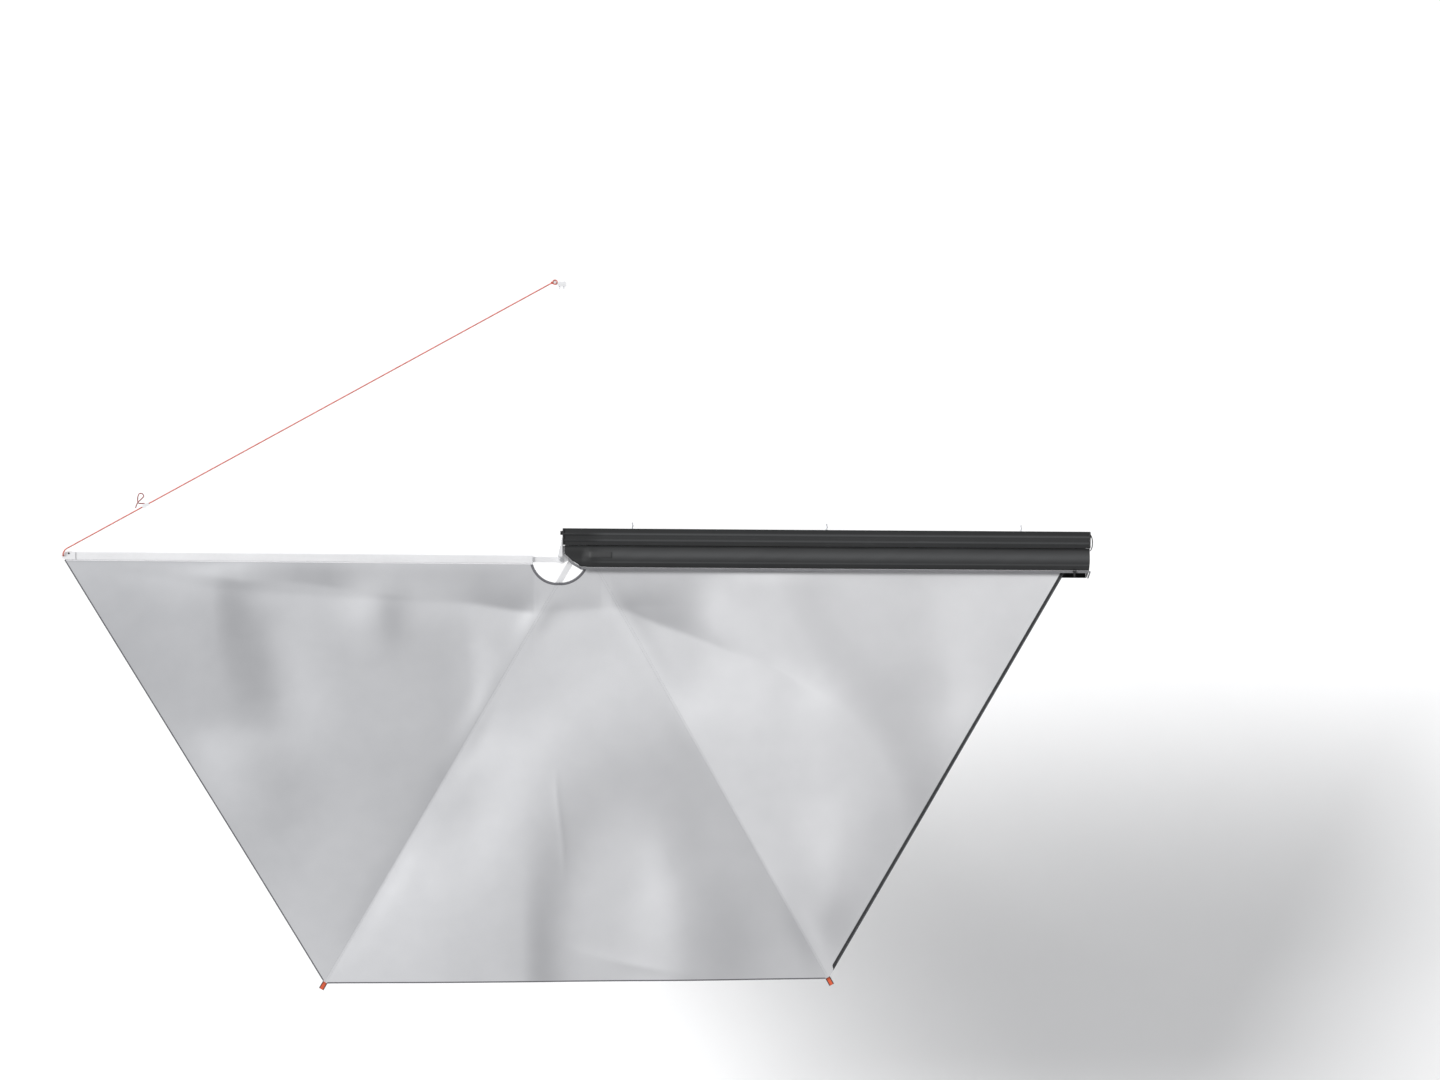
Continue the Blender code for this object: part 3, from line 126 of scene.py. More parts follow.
def uvGrid(first, second):
    return np.stack(np.broadcast_arrays(first, second), -1)


def clothPiece(name, points, material, thickness, uv, flip=False):
    # a grid of points given a thickness both ways
    faces = gridFaces(*points.shape[:2])
    if flip:
        faces = faces[:, ::-1]
    piece = meshPiece(name, points.reshape(-1, 3), faces, material, uv.reshape(-1, 2))
    used = np.empty(len(piece.data.loops), np.int32)
    piece.data.loops.foreach_get("edge_index", used)
    border = np.bincount(used, minlength=len(piece.data.edges)) == 1
    piece.data.edges.foreach_set("use_edge_sharp", border)  # the cut edge doesn't round the cloth's shading
    wall = piece.modifiers.new("cloth", "SOLIDIFY")
    wall.thickness = thickness
    wall.offset = 0.0
    return piece


def frames(path):  # a side and an up direction at each point of a path, the side kept level where it can be
    ahead = np.gradient(path, axis=0)
    ahead /= np.linalg.norm(ahead, axis=1)[:, None]
    level = np.cross(np.array((0.0, 0.0, 1.0)), ahead)
    long = np.linalg.norm(level, axis=1)[:, None]
    side = np.where(long > 1e-3, level / np.maximum(long, 1e-3), np.array((0.0, 1.0, 0.0)))
    return ahead, side, np.cross(ahead, side)


def carried(name, path, profile, material, side=None):
    # a closed profile (across, up) carried along a path, with flat ends
    path = np.array(path, float)
    ahead, across, up = frames(path)
    if side is not None:
        across = np.broadcast_to(np.array(side, float), path.shape)
        up = np.cross(ahead, across)
    profile = np.array(profile, float)
    rings = path[:, None] + (profile[None, :, :1] * across[:, None] + profile[None, :, 1:] * up[:, None])
    n, m = rings.shape[:2]
    faces = gridFaces(n, m, True)[:, ::-1].tolist()
    faces += [list(range(m)), list(range((n - 1) * m, n * m))[::-1]]
    around = distances(np.vstack([profile, profile[:1]]))[:m]
    uv = uvGrid(around[None, :], distances(path)[:, None]).reshape(-1, 2)
    return meshPiece(name, rings.reshape(-1, 3), faces, material, uv)


def ringProfile(radius, sides):  # a circle in (across, up)
    turn = np.linspace(0, 2 * math.pi, sides, endpoint=False)
    return np.stack([radius * np.cos(turn), radius * np.sin(turn)], 1)


def bandProfile(width, thick):  # a flat band with rounded edges
    r = 0.35 * thick
    turn = np.linspace(0, math.pi / 2, 4)
    arcs = []
    for sx, sy, start in ((1, 1, 0), (-1, 1, math.pi / 2), (-1, -1, math.pi), (1, -1, 1.5 * math.pi)):
        middle = np.array((sx * (width / 2 - r), sy * (thick / 2 - r)))
        arcs.append(middle + r * np.stack([np.cos(turn + start), np.sin(turn + start)], 1))
    return np.vstack(arcs)


def capsules(name, starts, ends, material, thread, lift):
    # short rounded threads, one from each start to its end, bowed upwards
    cuts, sides = 5, 6
    t = np.linspace(0, 1, cuts)
    centre = starts[:, None] * (1 - t[None, :, None]) + ends[:, None] * t[None, :, None]
    ahead = ends - starts
    ahead /= np.linalg.norm(ahead, axis=1)[:, None]
    side = np.cross(np.array((0.0, 0.0, 1.0)), ahead)
    side /= np.maximum(np.linalg.norm(side, axis=1), 1e-6)[:, None]
    up = np.cross(ahead, side)
    centre = centre + (lift * np.sin(math.pi * t))[None, :, None] * up[:, None]
    wide = thread * (0.35 + 0.65 * np.sin(math.pi * t) ** 0.5)
    turn = np.linspace(0, 2 * math.pi, sides, endpoint=False)
    ring = np.cos(turn)[:, None] * side[:, None, None] + np.sin(turn)[:, None] * up[:, None, None]
    verts = (centre[:, :, None] + wide[None, :, None, None] * ring).reshape(-1, 3)
    first = cuts * sides * np.arange(len(starts))[:, None]
    faces = (gridFaces(cuts, sides, True)[:, ::-1][None] + first[..., None]).reshape(-1, 4).tolist()
    lastCut = np.arange((cuts - 1) * sides, cuts * sides)[::-1]
    faces += (np.arange(sides)[None] + first).tolist() + (lastCut[None] + first).tolist()
    return meshPiece(name, verts, faces, material)


def stitchRow(name, path, pitch, material, thread=0.0005, lift=0.0004):
    # stitches set one after another along a path, each over its share of the pitch
    share = 0.62
    run = distances(path)
    count = max(2, int(run[-1] / pitch))
    starts = (np.arange(count) + 0.5 - share / 2) * run[-1] / count
    ends = starts + share * run[-1] / count
    a, b = (np.stack([np.interp(at, run, path[:, k]) for k in range(3)], -1) for at in (starts, ends))
    return capsules(name, a, b, material, thread, lift)


# Shared shader effects

def nodeGroup(name, setting, usual, result, build):  # a group with a vector, one setting and one result
    group = bpy.data.node_groups.new(name, "ShaderNodeTree")
    group.interface.new_socket(name="Vector", in_out="INPUT", socket_type="NodeSocketVector")
    given = group.interface.new_socket(name=setting, in_out="INPUT", socket_type="NodeSocketFloat")
    given.default_value = usual
    group.interface.new_socket(name=result, in_out="OUTPUT", socket_type="NodeSocketFloat")
    tree = Tree(group)
    build(tree, tree.node("NodeGroupInput"), tree.node("NodeGroupOutput"))
    return group


class Tree:  # a little help for placing and joining shader nodes
    def __init__(self, tree):
        self.tree = tree

    def node(self, kind, **settings):
        made = self.tree.nodes.new(kind if kind.startswith("Node") else "ShaderNode" + kind)
        for key, value in settings.items():
            setattr(made, key, value)
        return made

    def link(self, source, target):
        self.tree.links.new(source, target)

    def split(self, vector):
        made = self.node("SeparateXYZ")
        self.link(vector, made.inputs[0])
        return made.outputs

    def math(self, operation, first, second=None):
        made = self.node("Math", operation=operation)
        for socket, value in zip(made.inputs, (first, second)):
            if isinstance(value, (int, float)):
                socket.default_value = value
            elif value is not None:
                self.link(value, socket)
        return made.outputs[0]

    def mix(self, factor, first, second):  # blends two colours
        made = self.node("Mix", data_type="RGBA")
        for socket, value in zip((made.inputs[0], made.inputs[6], made.inputs[7]), (factor, first, second)):
            if isinstance(value, tuple):
                socket.default_value = (*value, 1.0)
            elif isinstance(value, (int, float)):
                socket.default_value = value
            else:
                self.link(value, socket)
        return made.outputs[2]

    def ramp(self, value, low, high, toLow=0.0, toHigh=1.0):  # stretches a value's range and clips it
        made = self.node("MapRange")
        for socket, number in zip(made.inputs[1:5], (low, high, toLow, toHigh)):
            socket.default_value = number
        self.link(value, made.inputs[0])
        return made.outputs[0]

    def noise(self, vector, scale, detail=3.0, roughness=0.5):
        made = self.node("TexNoise")
        made.inputs["Detail"].default_value = detail
        made.inputs["Roughness"].default_value = roughness
        if isinstance(scale, (int, float)):
            made.inputs["Scale"].default_value = scale
        else:
            self.link(scale, made.inputs["Scale"])
        self.link(vector, made.inputs["Vector"])
        return made.outputs[0]

    def use(self, group, vector, **values):
        made = self.node("Group", node_tree=group)
        self.link(vector, made.inputs["Vector"])
        for key, value in values.items():
            made.inputs[key].default_value = value
        return made.outputs

    def bump(self, height, strength, distance, normal=None):
        made = self.node("Bump")
        made.inputs["Strength"].default_value = strength
        made.inputs["Distance"].default_value = distance
        self.link(height, made.inputs["Height"])
        if normal is not None:
            self.link(normal, made.inputs["Normal"])
        return made.outputs[0]


def buildWeave(tree, given, out):  # over and under threads: the product of two sines across the cloth
    places = tree.split(given.outputs["Vector"])
    waves = []
    for axis in (0, 1):
        threads = tree.math("MULTIPLY", places[axis], given.outputs["Threads"])
        waves.append(tree.math("SINE", tree.math("MULTIPLY", threads, 2 * math.pi)))
    woven = tree.math("MULTIPLY_ADD", tree.math("MULTIPLY", *waves), 0.5)
    woven.node.inputs[2].default_value = 0.5
    uneven = tree.noise(given.outputs["Vector"], 160.0, 2.0)
    tree.link(tree.math("MULTIPLY", woven, tree.ramp(uneven, 0.2, 0.8, 0.7, 1.0)), out.inputs["Height"])


def buildMottle(tree, given, out):  # slow and fast noise added: uneven dye, dust or oxide
    slow = tree.noise(given.outputs["Vector"], given.outputs["Scale"], 2.0)
    fast = tree.noise(given.outputs["Vector"], tree.math("MULTIPLY", given.outputs["Scale"], 9.0), 4.0, 0.6)
    both = tree.math("ADD", tree.math("MULTIPLY", slow, 0.65), tree.math("MULTIPLY", fast, 0.35))
    tree.link(tree.ramp(both, 0.32, 0.68), out.inputs["Tone"])


def buildScuffs(tree, given, out):  # a few long scratches: noise drawn out along X, kept where it peaks
    drawn = tree.node("Mapping")
    drawn.inputs["Scale"].default_value = (6.0, 130.0, 130.0)
    tree.link(given.outputs["Vector"], drawn.inputs["Vector"])
    peaks = tree.noise(drawn.outputs[0], 1.0, 3.0, 0.6)
    where = tree.noise(given.outputs["Vector"], 7.0, 2.0)
    mask = tree.math("MULTIPLY", tree.ramp(peaks, 0.62, 0.70), tree.ramp(where, 0.50, 0.62))
    tree.link(tree.math("MULTIPLY", mask, given.outputs["Amount"]), out.inputs["Mask"])


weave = nodeGroup("clothWeave", "Threads", 900.0, "Height", buildWeave)
mottle = nodeGroup("unevenTone", "Scale", 3.0, "Tone", buildMottle)
scuffs = nodeGroup("fineScratches", "Amount", 1.0, "Mask", buildScuffs)


def newMaterial(name, roughness, metallic=0.0, sheen=0.0):
    material = bpy.data.materials.new(name)
    material.use_nodes = True
    tree = Tree(material.node_tree)
    shader = material.node_tree.nodes["Principled BSDF"]
    shader.inputs["Roughness"].default_value = roughness
    shader.inputs["Metallic"].default_value = metallic
    shader.inputs["Sheen Weight"].default_value = sheen
    places = tree.node("TexCoord")
    return material, tree, shader, places.outputs["Object"], places.outputs["UV"]


# painted highlights on the ridges along the case: where they fade in beside the hinge, how much paler they
# are, and the specular level of the materials that carry them
paintedRidgeLight = dict(fade=(caseRear + 0.115, caseRear + 0.20), pale=2.8, specular=0.3)


def paintedRidgeHighlight(tree, place, ridgeHighlights):
    # painted highlights along the ridges that run along the case: bell curves across its depth, added up
    places = tree.split(place)
    total = None
    for depth, wide, high in ridgeHighlights:  # depth from the back of the case, half width, strength
        off = tree.math("MULTIPLY", tree.math("ADD", places[1], depth), 1 / wide)
        fall = tree.math("MULTIPLY", tree.math("MULTIPLY", off, off), -1.0)
        bell = tree.math("MULTIPLY", tree.math("EXPONENT", fall), high)
        total = bell if total is None else tree.math("ADD", total, bell)
    # the painted highlights fade out over the hollow beside the hinge, which stays darker as painted shade
    return tree.math("MULTIPLY", total, tree.ramp(places[0], *paintedRidgeLight["fade"]))


def withPaintedRidgeHighlights(tree, shader, place, colour, colours, ridgeHighlights):
    if not ridgeHighlights:
        return colour
    shader.inputs["Specular IOR Level"].default_value = paintedRidgeLight["specular"]
    # the colour turns paler where the painted ridge highlights lie
    return tree.mix(paintedRidgeHighlight(tree, place, ridgeHighlights), colour, tuple(paintedRidgeLight["pale"] * c for c in colours[1]))


def clothMaterial(name, colours, roughness, threads, mottleScale=3.0, sheen=0.0, strength=0.5, ridgeHighlights=()):
    # a woven cloth whose tone drifts between two colours
    material, tree, shader, place, uv = newMaterial(name, roughness, sheen=sheen)
    tone = tree.use(mottle, place, Scale=mottleScale)["Tone"]
    threadsHigh = tree.use(weave, uv, Threads=threads)["Height"]
    colour = withPaintedRidgeHighlights(tree, shader, place, tree.mix(tone, *colours), colours, ridgeHighlights)
    # painted shade between the threads
    darker = tuple(0.86 * c for c in colours[0])
    shade = tree.mix(tree.ramp(threadsHigh, 0.0, 0.35, 0.35, 0.0), colour, darker)
    tree.link(shade, shader.inputs["Base Color"])
    tree.link(tree.ramp(tone, 0.0, 1.0, roughness - 0.05, roughness + 0.05), shader.inputs["Roughness"])
    tree.link(tree.bump(threadsHigh, strength, 0.00012), shader.inputs["Normal"])
    return material


def metalMaterial(name, colour, roughness, angle=0.0, metallic=1.0, brushed=0.25):
    # bright anodised metal, brushed along one direction in plan, with a little oxide and a few scratches
    material, tree, shader, place, _ = newMaterial(name, roughness, metallic)
    turned = tree.node("Mapping")
    turned.inputs["Rotation"].default_value = (0.0, 0.0, -angle)
    tree.link(place, turned.inputs["Vector"])
    drawn = tree.node("Mapping")
    drawn.inputs["Scale"].default_value = (3.0, 700.0, 700.0)
    tree.link(turned.outputs[0], drawn.inputs["Vector"])
    lines = tree.noise(drawn.outputs[0], 1.0, 3.0, 0.6)
    tone = tree.use(mottle, place, Scale=5.0)["Tone"]
    mask = tree.use(scuffs, turned.outputs[0], Amount=0.7)["Mask"]
    dull = tuple(0.93 * c for c in colour)
    grey = tuple(0.72 * c for c in colour)
    tree.link(tree.mix(mask, tree.mix(tone, colour, dull), grey), shader.inputs["Base Color"])
    brush = tree.ramp(lines, 0.3, 0.7, roughness - 0.06, roughness + 0.08)
    tree.link(tree.math("ADD", brush, tree.math("MULTIPLY", mask, 0.15)), shader.inputs["Roughness"])
    tree.link(tree.bump(lines, brushed, 0.00004), shader.inputs["Normal"])
    return material


def mouldedMaterial(name, colours, roughness, grain=900.0, ridgeHighlights=()):
    # moulded plastic or powder coat: fine grain, slightly uneven gloss, a few pale scratches
    material, tree, shader, place, _ = newMaterial(name, roughness)
    tone = tree.use(mottle, place, Scale=6.0)["Tone"]
    fine = tree.noise(place, grain, 2.0)
    mask = tree.use(scuffs, place, Amount=0.5)["Mask"]
    wearAndPaintedLight = tuple(min(1.0, 1.5 * c + 0.03) for c in colours[1])
    colour = withPaintedRidgeHighlights(tree, shader, place, tree.mix(tone, *colours), colours, ridgeHighlights)
    tree.link(tree.mix(mask, colour, wearAndPaintedLight), shader.inputs["Base Color"])
    tree.link(tree.ramp(fine, 0.3, 0.7, roughness - 0.05, roughness + 0.07), shader.inputs["Roughness"])
    tree.link(tree.bump(fine, 0.4, 0.00008), shader.inputs["Normal"])
    return material


def silverMaterial():
    # silver coating on a fine weave, part metallic; painted shade makes its colour darker towards the
    # awning's rear
    material, tree, shader, place, uv = newMaterial("silverCoatedCloth", 0.50, metallic=0.55)
    # painted shade: the colour runs from darker at the rear to lighter at the front
    paintedLightToFront = tree.ramp(tree.split(uv)[0], -3.6, 0.8)
    clouds = tree.use(mottle, place, Scale=1.1)["Tone"]
    threadsHigh = tree.use(weave, uv, Threads=620.0)["Height"]
    tone = tree.math("ADD", tree.math("MULTIPLY", paintedLightToFront, 0.85), tree.math("MULTIPLY", clouds, 0.15))
    colour = tree.mix(tone, (0.43, 0.435, 0.45), (0.66, 0.66, 0.67))
    # painted light and shade of the folds, pools and creases, read from a point attribute and multiplied into
    # the colour
    paintedLightAndShade = tree.node("Attribute", attribute_name="paintedShading").outputs["Fac"]
    turned = tree.node("Mix", data_type="RGBA", blend_type="MULTIPLY")
    turned.inputs[0].default_value = 1.0
    tree.link(colour, turned.inputs[6])
    tree.link(tree.mix(paintedLightAndShade, (0.55, 0.55, 0.56), (1.45, 1.45, 1.44)), turned.inputs[7])
    # painted shade between the threads
    shadeBetweenThreads = tree.ramp(threadsHigh, 0.0, 0.35, 0.25, 0.0)
    tree.link(tree.mix(shadeBetweenThreads, turned.outputs[2], (0.42, 0.425, 0.44)), shader.inputs["Base Color"])
    creased = tree.noise(uv, 22.0, 5.0, 0.6)
    fine = tree.bump(threadsHigh, 0.25, 0.0001)
    tree.link(tree.bump(creased, 0.12, 0.002, fine), shader.inputs["Normal"])
    tree.link(tree.ramp(clouds, 0.0, 1.0, 0.48, 0.54), shader.inputs["Roughness"])
    return material


def ropeMaterial(name, colours, diameter):
    # braided sheath: two families of strands that cross, with a paler tracer strand
    material, tree, shader, place, uv = newMaterial(name, 0.75, sheen=0.2)
    places = tree.split(uv)
    around = tree.math("MULTIPLY", places[0], 8.0 / (math.pi * diameter))
    along = tree.math("MULTIPLY", places[1], 1.1 / diameter)

    def wave(way, turn):
        return tree.math("SINE", tree.math("MULTIPLY", tree.math(way, around, along), turn))

    high = tree.ramp(tree.math("MULTIPLY", wave("ADD", math.pi), wave("SUBTRACT", math.pi)), -0.6, 0.8)
    tone = tree.use(mottle, place, Scale=9.0)["Tone"]
    tracer = tree.ramp(wave("ADD", math.pi / 4), 0.90, 0.97)
    colour = tree.mix(tracer, tree.mix(tone, *colours), tuple(min(1.0, 1.7 * c + 0.1) for c in colours[0]))
    # painted shade in the gaps between the strands
    gap = tuple(0.35 * c for c in colours[0])
    tree.link(tree.mix(tree.ramp(high, 0.0, 0.3, 0.8, 0.0), colour, gap), shader.inputs["Base Color"])
    tree.link(tree.bump(high, 0.8, 0.0004), shader.inputs["Normal"])
    return material


looks = dict(
    canopy=silverMaterial(),
    hem=clothMaterial("greyHemTape", ((0.10, 0.10, 0.11), (0.13, 0.13, 0.14)), 0.75, 900.0, 12.0),
    band=clothMaterial(
        "blackBinding", ((0.012, 0.012, 0.014), (0.022, 0.022, 0.024)), 0.72, 900.0, 12.0, sheen=0.05
    ),
    bag=clothMaterial(
        "charcoalCanvas", ((0.015, 0.0155, 0.016), (0.020, 0.0205, 0.021)), 0.62, 760.0, 5.0, sheen=0.03,
        # painted highlights on the cover's ridges and bulge: depth, half width, strength
        ridgeHighlights=((0.132, 0.022, 0.75), (0.164, 0.004, 0.7), (0.112, 0.02, 0.25)),
    ),
    loop=clothMaterial(
        "blackLoopWebbing", ((0.015, 0.015, 0.016), (0.025, 0.025, 0.026)), 0.7, 450.0, 20.0, strength=0.9
    ),
    patch=clothMaterial("plainPatch", ((0.020, 0.0205, 0.021), (0.026, 0.0265, 0.027)), 0.62, 1300.0, 20.0),
    zipTape=clothMaterial("zipTape", ((0.17, 0.17, 0.18), (0.21, 0.21, 0.22)), 0.75, 1400.0, 20.0),
    thread=clothMaterial("paleThread", ((0.30, 0.30, 0.31), (0.38, 0.38, 0.39)), 0.8, 3000.0, 60.0),
    darkThread=clothMaterial("darkThread", ((0.02, 0.02, 0.02), (0.03, 0.03, 0.03)), 0.8, 3000.0, 60.0),
    silverThread=clothMaterial("silverThread", ((0.20, 0.205, 0.21), (0.25, 0.255, 0.26)), 0.7, 3000.0, 60.0),
    zipTeeth=mouldedMaterial("zipCoil", ((0.42, 0.42, 0.43), (0.50, 0.50, 0.51)), 0.4, 2000.0),
    profile=mouldedMaterial(
        "charcoalPowderCoat", ((0.015, 0.0155, 0.016), (0.019, 0.0195, 0.02)), 0.46, 1500.0,
        # painted highlights on the profile's two ribs and between them: depth, half width, strength
        ridgeHighlights=((0.029, 0.007, 0.75), (0.059, 0.006, 0.6), (0.044, 0.014, 0.2)),
    ),
    plastic=mouldedMaterial("blackMouldedPlastic", ((0.016, 0.016, 0.017), (0.024, 0.024, 0.025)), 0.5),
    nylon=mouldedMaterial("paleNylon", ((0.72, 0.72, 0.69), (0.80, 0.80, 0.77)), 0.45),
    steel=metalMaterial("zincSteel", (0.62, 0.63, 0.65), 0.34, brushed=0.1),
    rivet=metalMaterial("blackRivet", (0.03, 0.03, 0.03), 0.4, metallic=0.6, brushed=0.1),
    bright=metalMaterial("brightAluminium", (0.91, 0.91, 0.92), 0.36, metallic=0.6),
    rope=ropeMaterial("redBraid", ((0.52, 0.085, 0.05), (0.60, 0.11, 0.06)), 0.006),
    tailRope=ropeMaterial("darkRedBraid", ((0.24, 0.03, 0.025), (0.30, 0.04, 0.03)), 0.005),
)
for armName, arm in arms.items():
    brushed = metalMaterial(armName + "ArmAluminium", (0.91, 0.91, 0.92), 0.36, arm["angle"], 0.6)
    looks[armName + "Arm"] = brushed
print("materials made:", len(looks))


# Carried-over parts

partLooks = {
    "profile": "back_profile",
    "plastic": "rear_end_cap front_end_cap mid_arm_end_cap front_arm_end_cap zip_slider",
    "steel": "t_bolt_1 t_bolt_2 t_bolt_3 t_nut_1 t_nut_2 t_nut_3 hinge_bolt_1 hinge_bolt_2 "
    "rear_pivot_bolt rear_pivot_nut mid_pivot_bolt mid_pivot_nut front_pivot_bolt front_pivot_nut "
    "anchor_bolt_1 anchor_bolt_2",
    "rivet": "rope_eye_rivet rear_cap_bolt front_cap_bolt",
    "bright": "keder_rail hinge_top_plate hinge_bottom_plate hinge_back_plate hinge_gusset "
    "rope_tensioner rack_anchor",
    "rearArm": "rear_arm_tube rear_arm_tongue rear_arm_end_cap rope_eye",
    "midArm": "mid_arm_tube mid_arm_tongue",
    "frontArm": "front_arm_tube front_arm_tongue",
    "nylon": "rear_arm_bush mid_arm_bush front_arm_bush",
}
for look, names in partLooks.items():
    for name in names.split():
        nodes[name].data.materials.clear()
        nodes[name].data.materials.append(looks[look])


# The canopy

canopy = dict(
    height=0.0062,
    cloth=0.0012,
    edge=0.0230,  # the rear panel's edge, beside the middle of its arm
    reach=dict(rear=2.4354, mid=2.4511, front=2.4580),
    corner=0.0125,
    seam=0.0001,
    hole=(caseRear - 0.0355, -0.1447),
    holeRadius=0.123,
    frontStart=0.062,
    innerDepth=0.033,
    inner=(caseRear + 0.183, caseFront - 0.037),
    taut=0.060,
    lowest=0.0012,  # never lower, so that the cloth clears the arms
    foldShare=0.75,
    limit=(0.028, 0.018),  # from here it rises less and less, so that it stays below the closed case's top
    blend=0.004,  # how softly the cloth settles onto its lowest height
    edgeFade=0.10,
    holeFade=0.25,
    rows=190,
    columns=150,
)
# Folds: points along each fold's line (X, Y, height, width on its left or lower side and on the other one).
# A height below zero makes a valley. A crease has a sharp line and a soft fold a round one.
softFolds = (
    [(-1.86, -2.24, .012, .26, .25), (-1.86, -1.95, .012, .26, .25), (-1.82, -1.70, .007, .24, .25),
     (-1.76, -1.45, 0, .2, .2)],
    [(-1.47, -2.24, .021, .30, .13), (-1.475, -1.90, .021, .30, .14), (-1.46, -1.55, .020, .26, .22),
     (-1.38, -1.26, .018, .26, .34), (-1.24, -1.02, .012, .26, .36), (-1.16, -.80, 0, .24, .30)],
    [(-.66, -2.24, .018, .20, .26), (-.67, -1.97, .021, .20, .26), (-.70, -1.77, .017, .16, .24),
     (-.76, -1.58, .007, .12, .20), (-.79, -1.42, 0, .12, .20)],
    [(-.30, -.12, .010, .35, .18), (-.12, -.54, .013, .40, .20), (.07, -.84, .021, .42, .21),
     (.23, -1.06, .026, .42, .21), (.35, -1.28, .024, .40, .20), (.38, -1.48, .012, .35, .20),
     (.37, -1.65, 0, .30, .20)],
    [(.52, -.20, -.003, .25, .20), (.54, -.60, -.007, .25, .17), (.58, -.82, -.010, .22, .15),
     (.56, -1.05, 0, .20, .15)],
    [(.14, -1.15, 0, .20, .22), (.11, -1.38, .006, .18, .22), (.10, -1.62, .011, .16, .22),
     (.07, -1.80, .011, .14, .20), (.01, -1.98, .006, .14, .18), (-.02, -2.16, 0, .12, .16)],
    [(-3.01, -.22, .010, .30, .14), (-3.00, -.42, .016, .30, .14), (-2.98, -.68, .011, .28, .15),
     (-2.94, -.85, .006, .25, .15), (-2.92, -1.00, 0, .25, .15)],
    [(-2.72, -.38, 0, .13, .15), (-2.71, -.56, -.007, .14, .16), (-2.67, -.75, -.011, .14, .18),
     (-2.64, -.95, -.006, .14, .18), (-2.62, -1.12, 0, .14, .18)],
    [(-2.20, -.22, 0, .12, .09), (-2.20, -.43, .007, .14, .10), (-2.18, -.58, .003, .14, .10),
     (-2.17, -.70, 0, .12, .09)],
    [(-2.95, -.98, 0, .17, .20), (-2.87, -1.16, .012, .17, .20), (-2.79, -1.35, .007, .17, .20),
     (-2.76, -1.50, 0, .17, .20)],
    [(-1.77, -.42, 0, .20, .10), (-1.76, -.60, -.006, .20, .10), (-1.74, -.85, -.005, .20, .10),
     (-1.72, -1.20, 0, .20, .10)],
    [(-.63, -.12, 0, .14, .12), (-.63, -.38, -.006, .14, .12), (-.61, -.65, -.003, .12, .12),
     (-.60, -.85, 0, .12, .12)],
)
creases = (
    [(-3.60, -.185, 0, .05, .06), (-3.20, -.26, -.006, .08, .12), (-2.90, -.31, -.008, .09, .12),
     (-2.27, -.345, -.008, .09, .13), (-1.78, -.37, -.010, .08, .13), (-1.415, -.41, -.009, .08, .10),
     (-1.02, -.385, -.006, .05, .08), (-.90, -.38, 0, .05, .08)],
    [(-1.05, -.40, 0, .10, .06), (-.85, -.46, -.010, .14, .07), (-.66, -.51, -.018, .16, .08),
     (-.45, -.60, -.018, .16, .08), (-.27, -.67, -.014, .14, .07), (-.10, -.77, -.010, .12, .06),
     (.02, -.84, 0, .10, .06)],
    [(-1.315, -1.18, 0, .015, .015), (-1.31, -1.30, .0011, .015, .015), (-1.28, -1.55, .0011, .015, .015),
     (-1.27, -1.72, 0, .015, .015)],
    [(-1.22, -2.05, 0, .03, .03), (-1.00, -2.12, .007, .03, .04), (-.80, -2.16, .007, .03, .04),
     (-.60, -2.21, 0, .03, .03)],
    [(-1.427, -.18, 0, .02, .02), (-1.427, -.26, .004, .02, .02), (-1.425, -.38, .004, .02, .02),
     (-1.424, -.47, 0, .02, .02)],
)
# Beside an arm the cloth rises from the arm's line: (height, reach, and the arm's stretch where it does so)
valleys = {
    ("mid", -1): (0.009, 0.16, (0.2, 1.3, 2.9)), ("mid", 1): (0.012, 0.16, (0.2, 1.8, 3.0)),
    ("front", -1): (0.030, 0.26, (0.5, 1.8, 3.2)), ("front", 1): (0.014, 0.20, (0.2, 1.4, 3.0)),
}


def foldLines(folds):
    # each line made smooth, faded out beyond its ends, and read along the axis it runs most along
    lines, extra = [], 14
    window = np.hanning(2 * extra + 1)
    for fold in folds:
        line = curveThrough(fold, 80)
        byX = np.ptp(line[:, 0]) > np.ptp(line[:, 1])
        more = np.arange(1, 2 * extra + 1)[:, None]
        before, after = line[0] - more[::-1] * (line[1] - line[0]), line[-1] + more * (line[-1] - line[-2])
        before[:, 2:], after[:, 2:] = line[0, 2:], line[-1, 2:]
        line = np.vstack([before, line, after])
        line[:, 2] = np.convolve(np.pad(line[:, 2], extra, "edge"), window / window.sum(), "valid")
        line = line[:, [0, 1, 2, 3, 4] if byX else [1, 0, 2, 3, 4]]
        lines.append((byX, line[np.argsort(line[:, 0])]))
    return lines


softLines, creaseLines = foldLines(softFolds), foldLines(creases)


def foldRise(x, y, lines, sharp):
    rise = np.zeros_like(x)
    for byX, line in lines:
        t, s = (x, y) if byX else (y, x)
        along = line[:, 0]
        tilt = np.interp(t, along, np.gradient(line[:, 1], along))
        across = (s - np.interp(t, along, line[:, 1])) / np.sqrt(1 + tilt**2)
        wide = np.where(across < 0, np.interp(t, along, line[:, 3]), np.interp(t, along, line[:, 4]))
        high = np.interp(t, along, line[:, 2])
        share = np.abs(across) / wide
        rise += high * (np.exp(-(np.sqrt(share**2 + 0.03) - 0.17)) if sharp else np.exp(-(share**2)))
    return rise


def fromArm(x, y, armName):  # how far along an arm's line a place is, and how far to its left
    pivot, angle = arms[armName]["pivot"], arms[armName]["angle"]
    c, s = math.cos(angle), math.sin(angle)
    return (x - pivot[0]) * c + (y - pivot[1]) * s, -(x - pivot[0]) * s + (y - pivot[1]) * c


def armRise(x, y):
    rise = np.zeros_like(x)
    for (armName, way), (high, reach, (start, most, end)) in valleys.items():
        along, side = fromArm(x, y, armName)
        here = smoothStep((along - start) / (most - start)) * smoothStep((end - along) / (end - most))
        rise += np.where(side * way > 0, high * here * (1 - np.exp(-np.abs(side) / reach)), 0.0)
    return rise


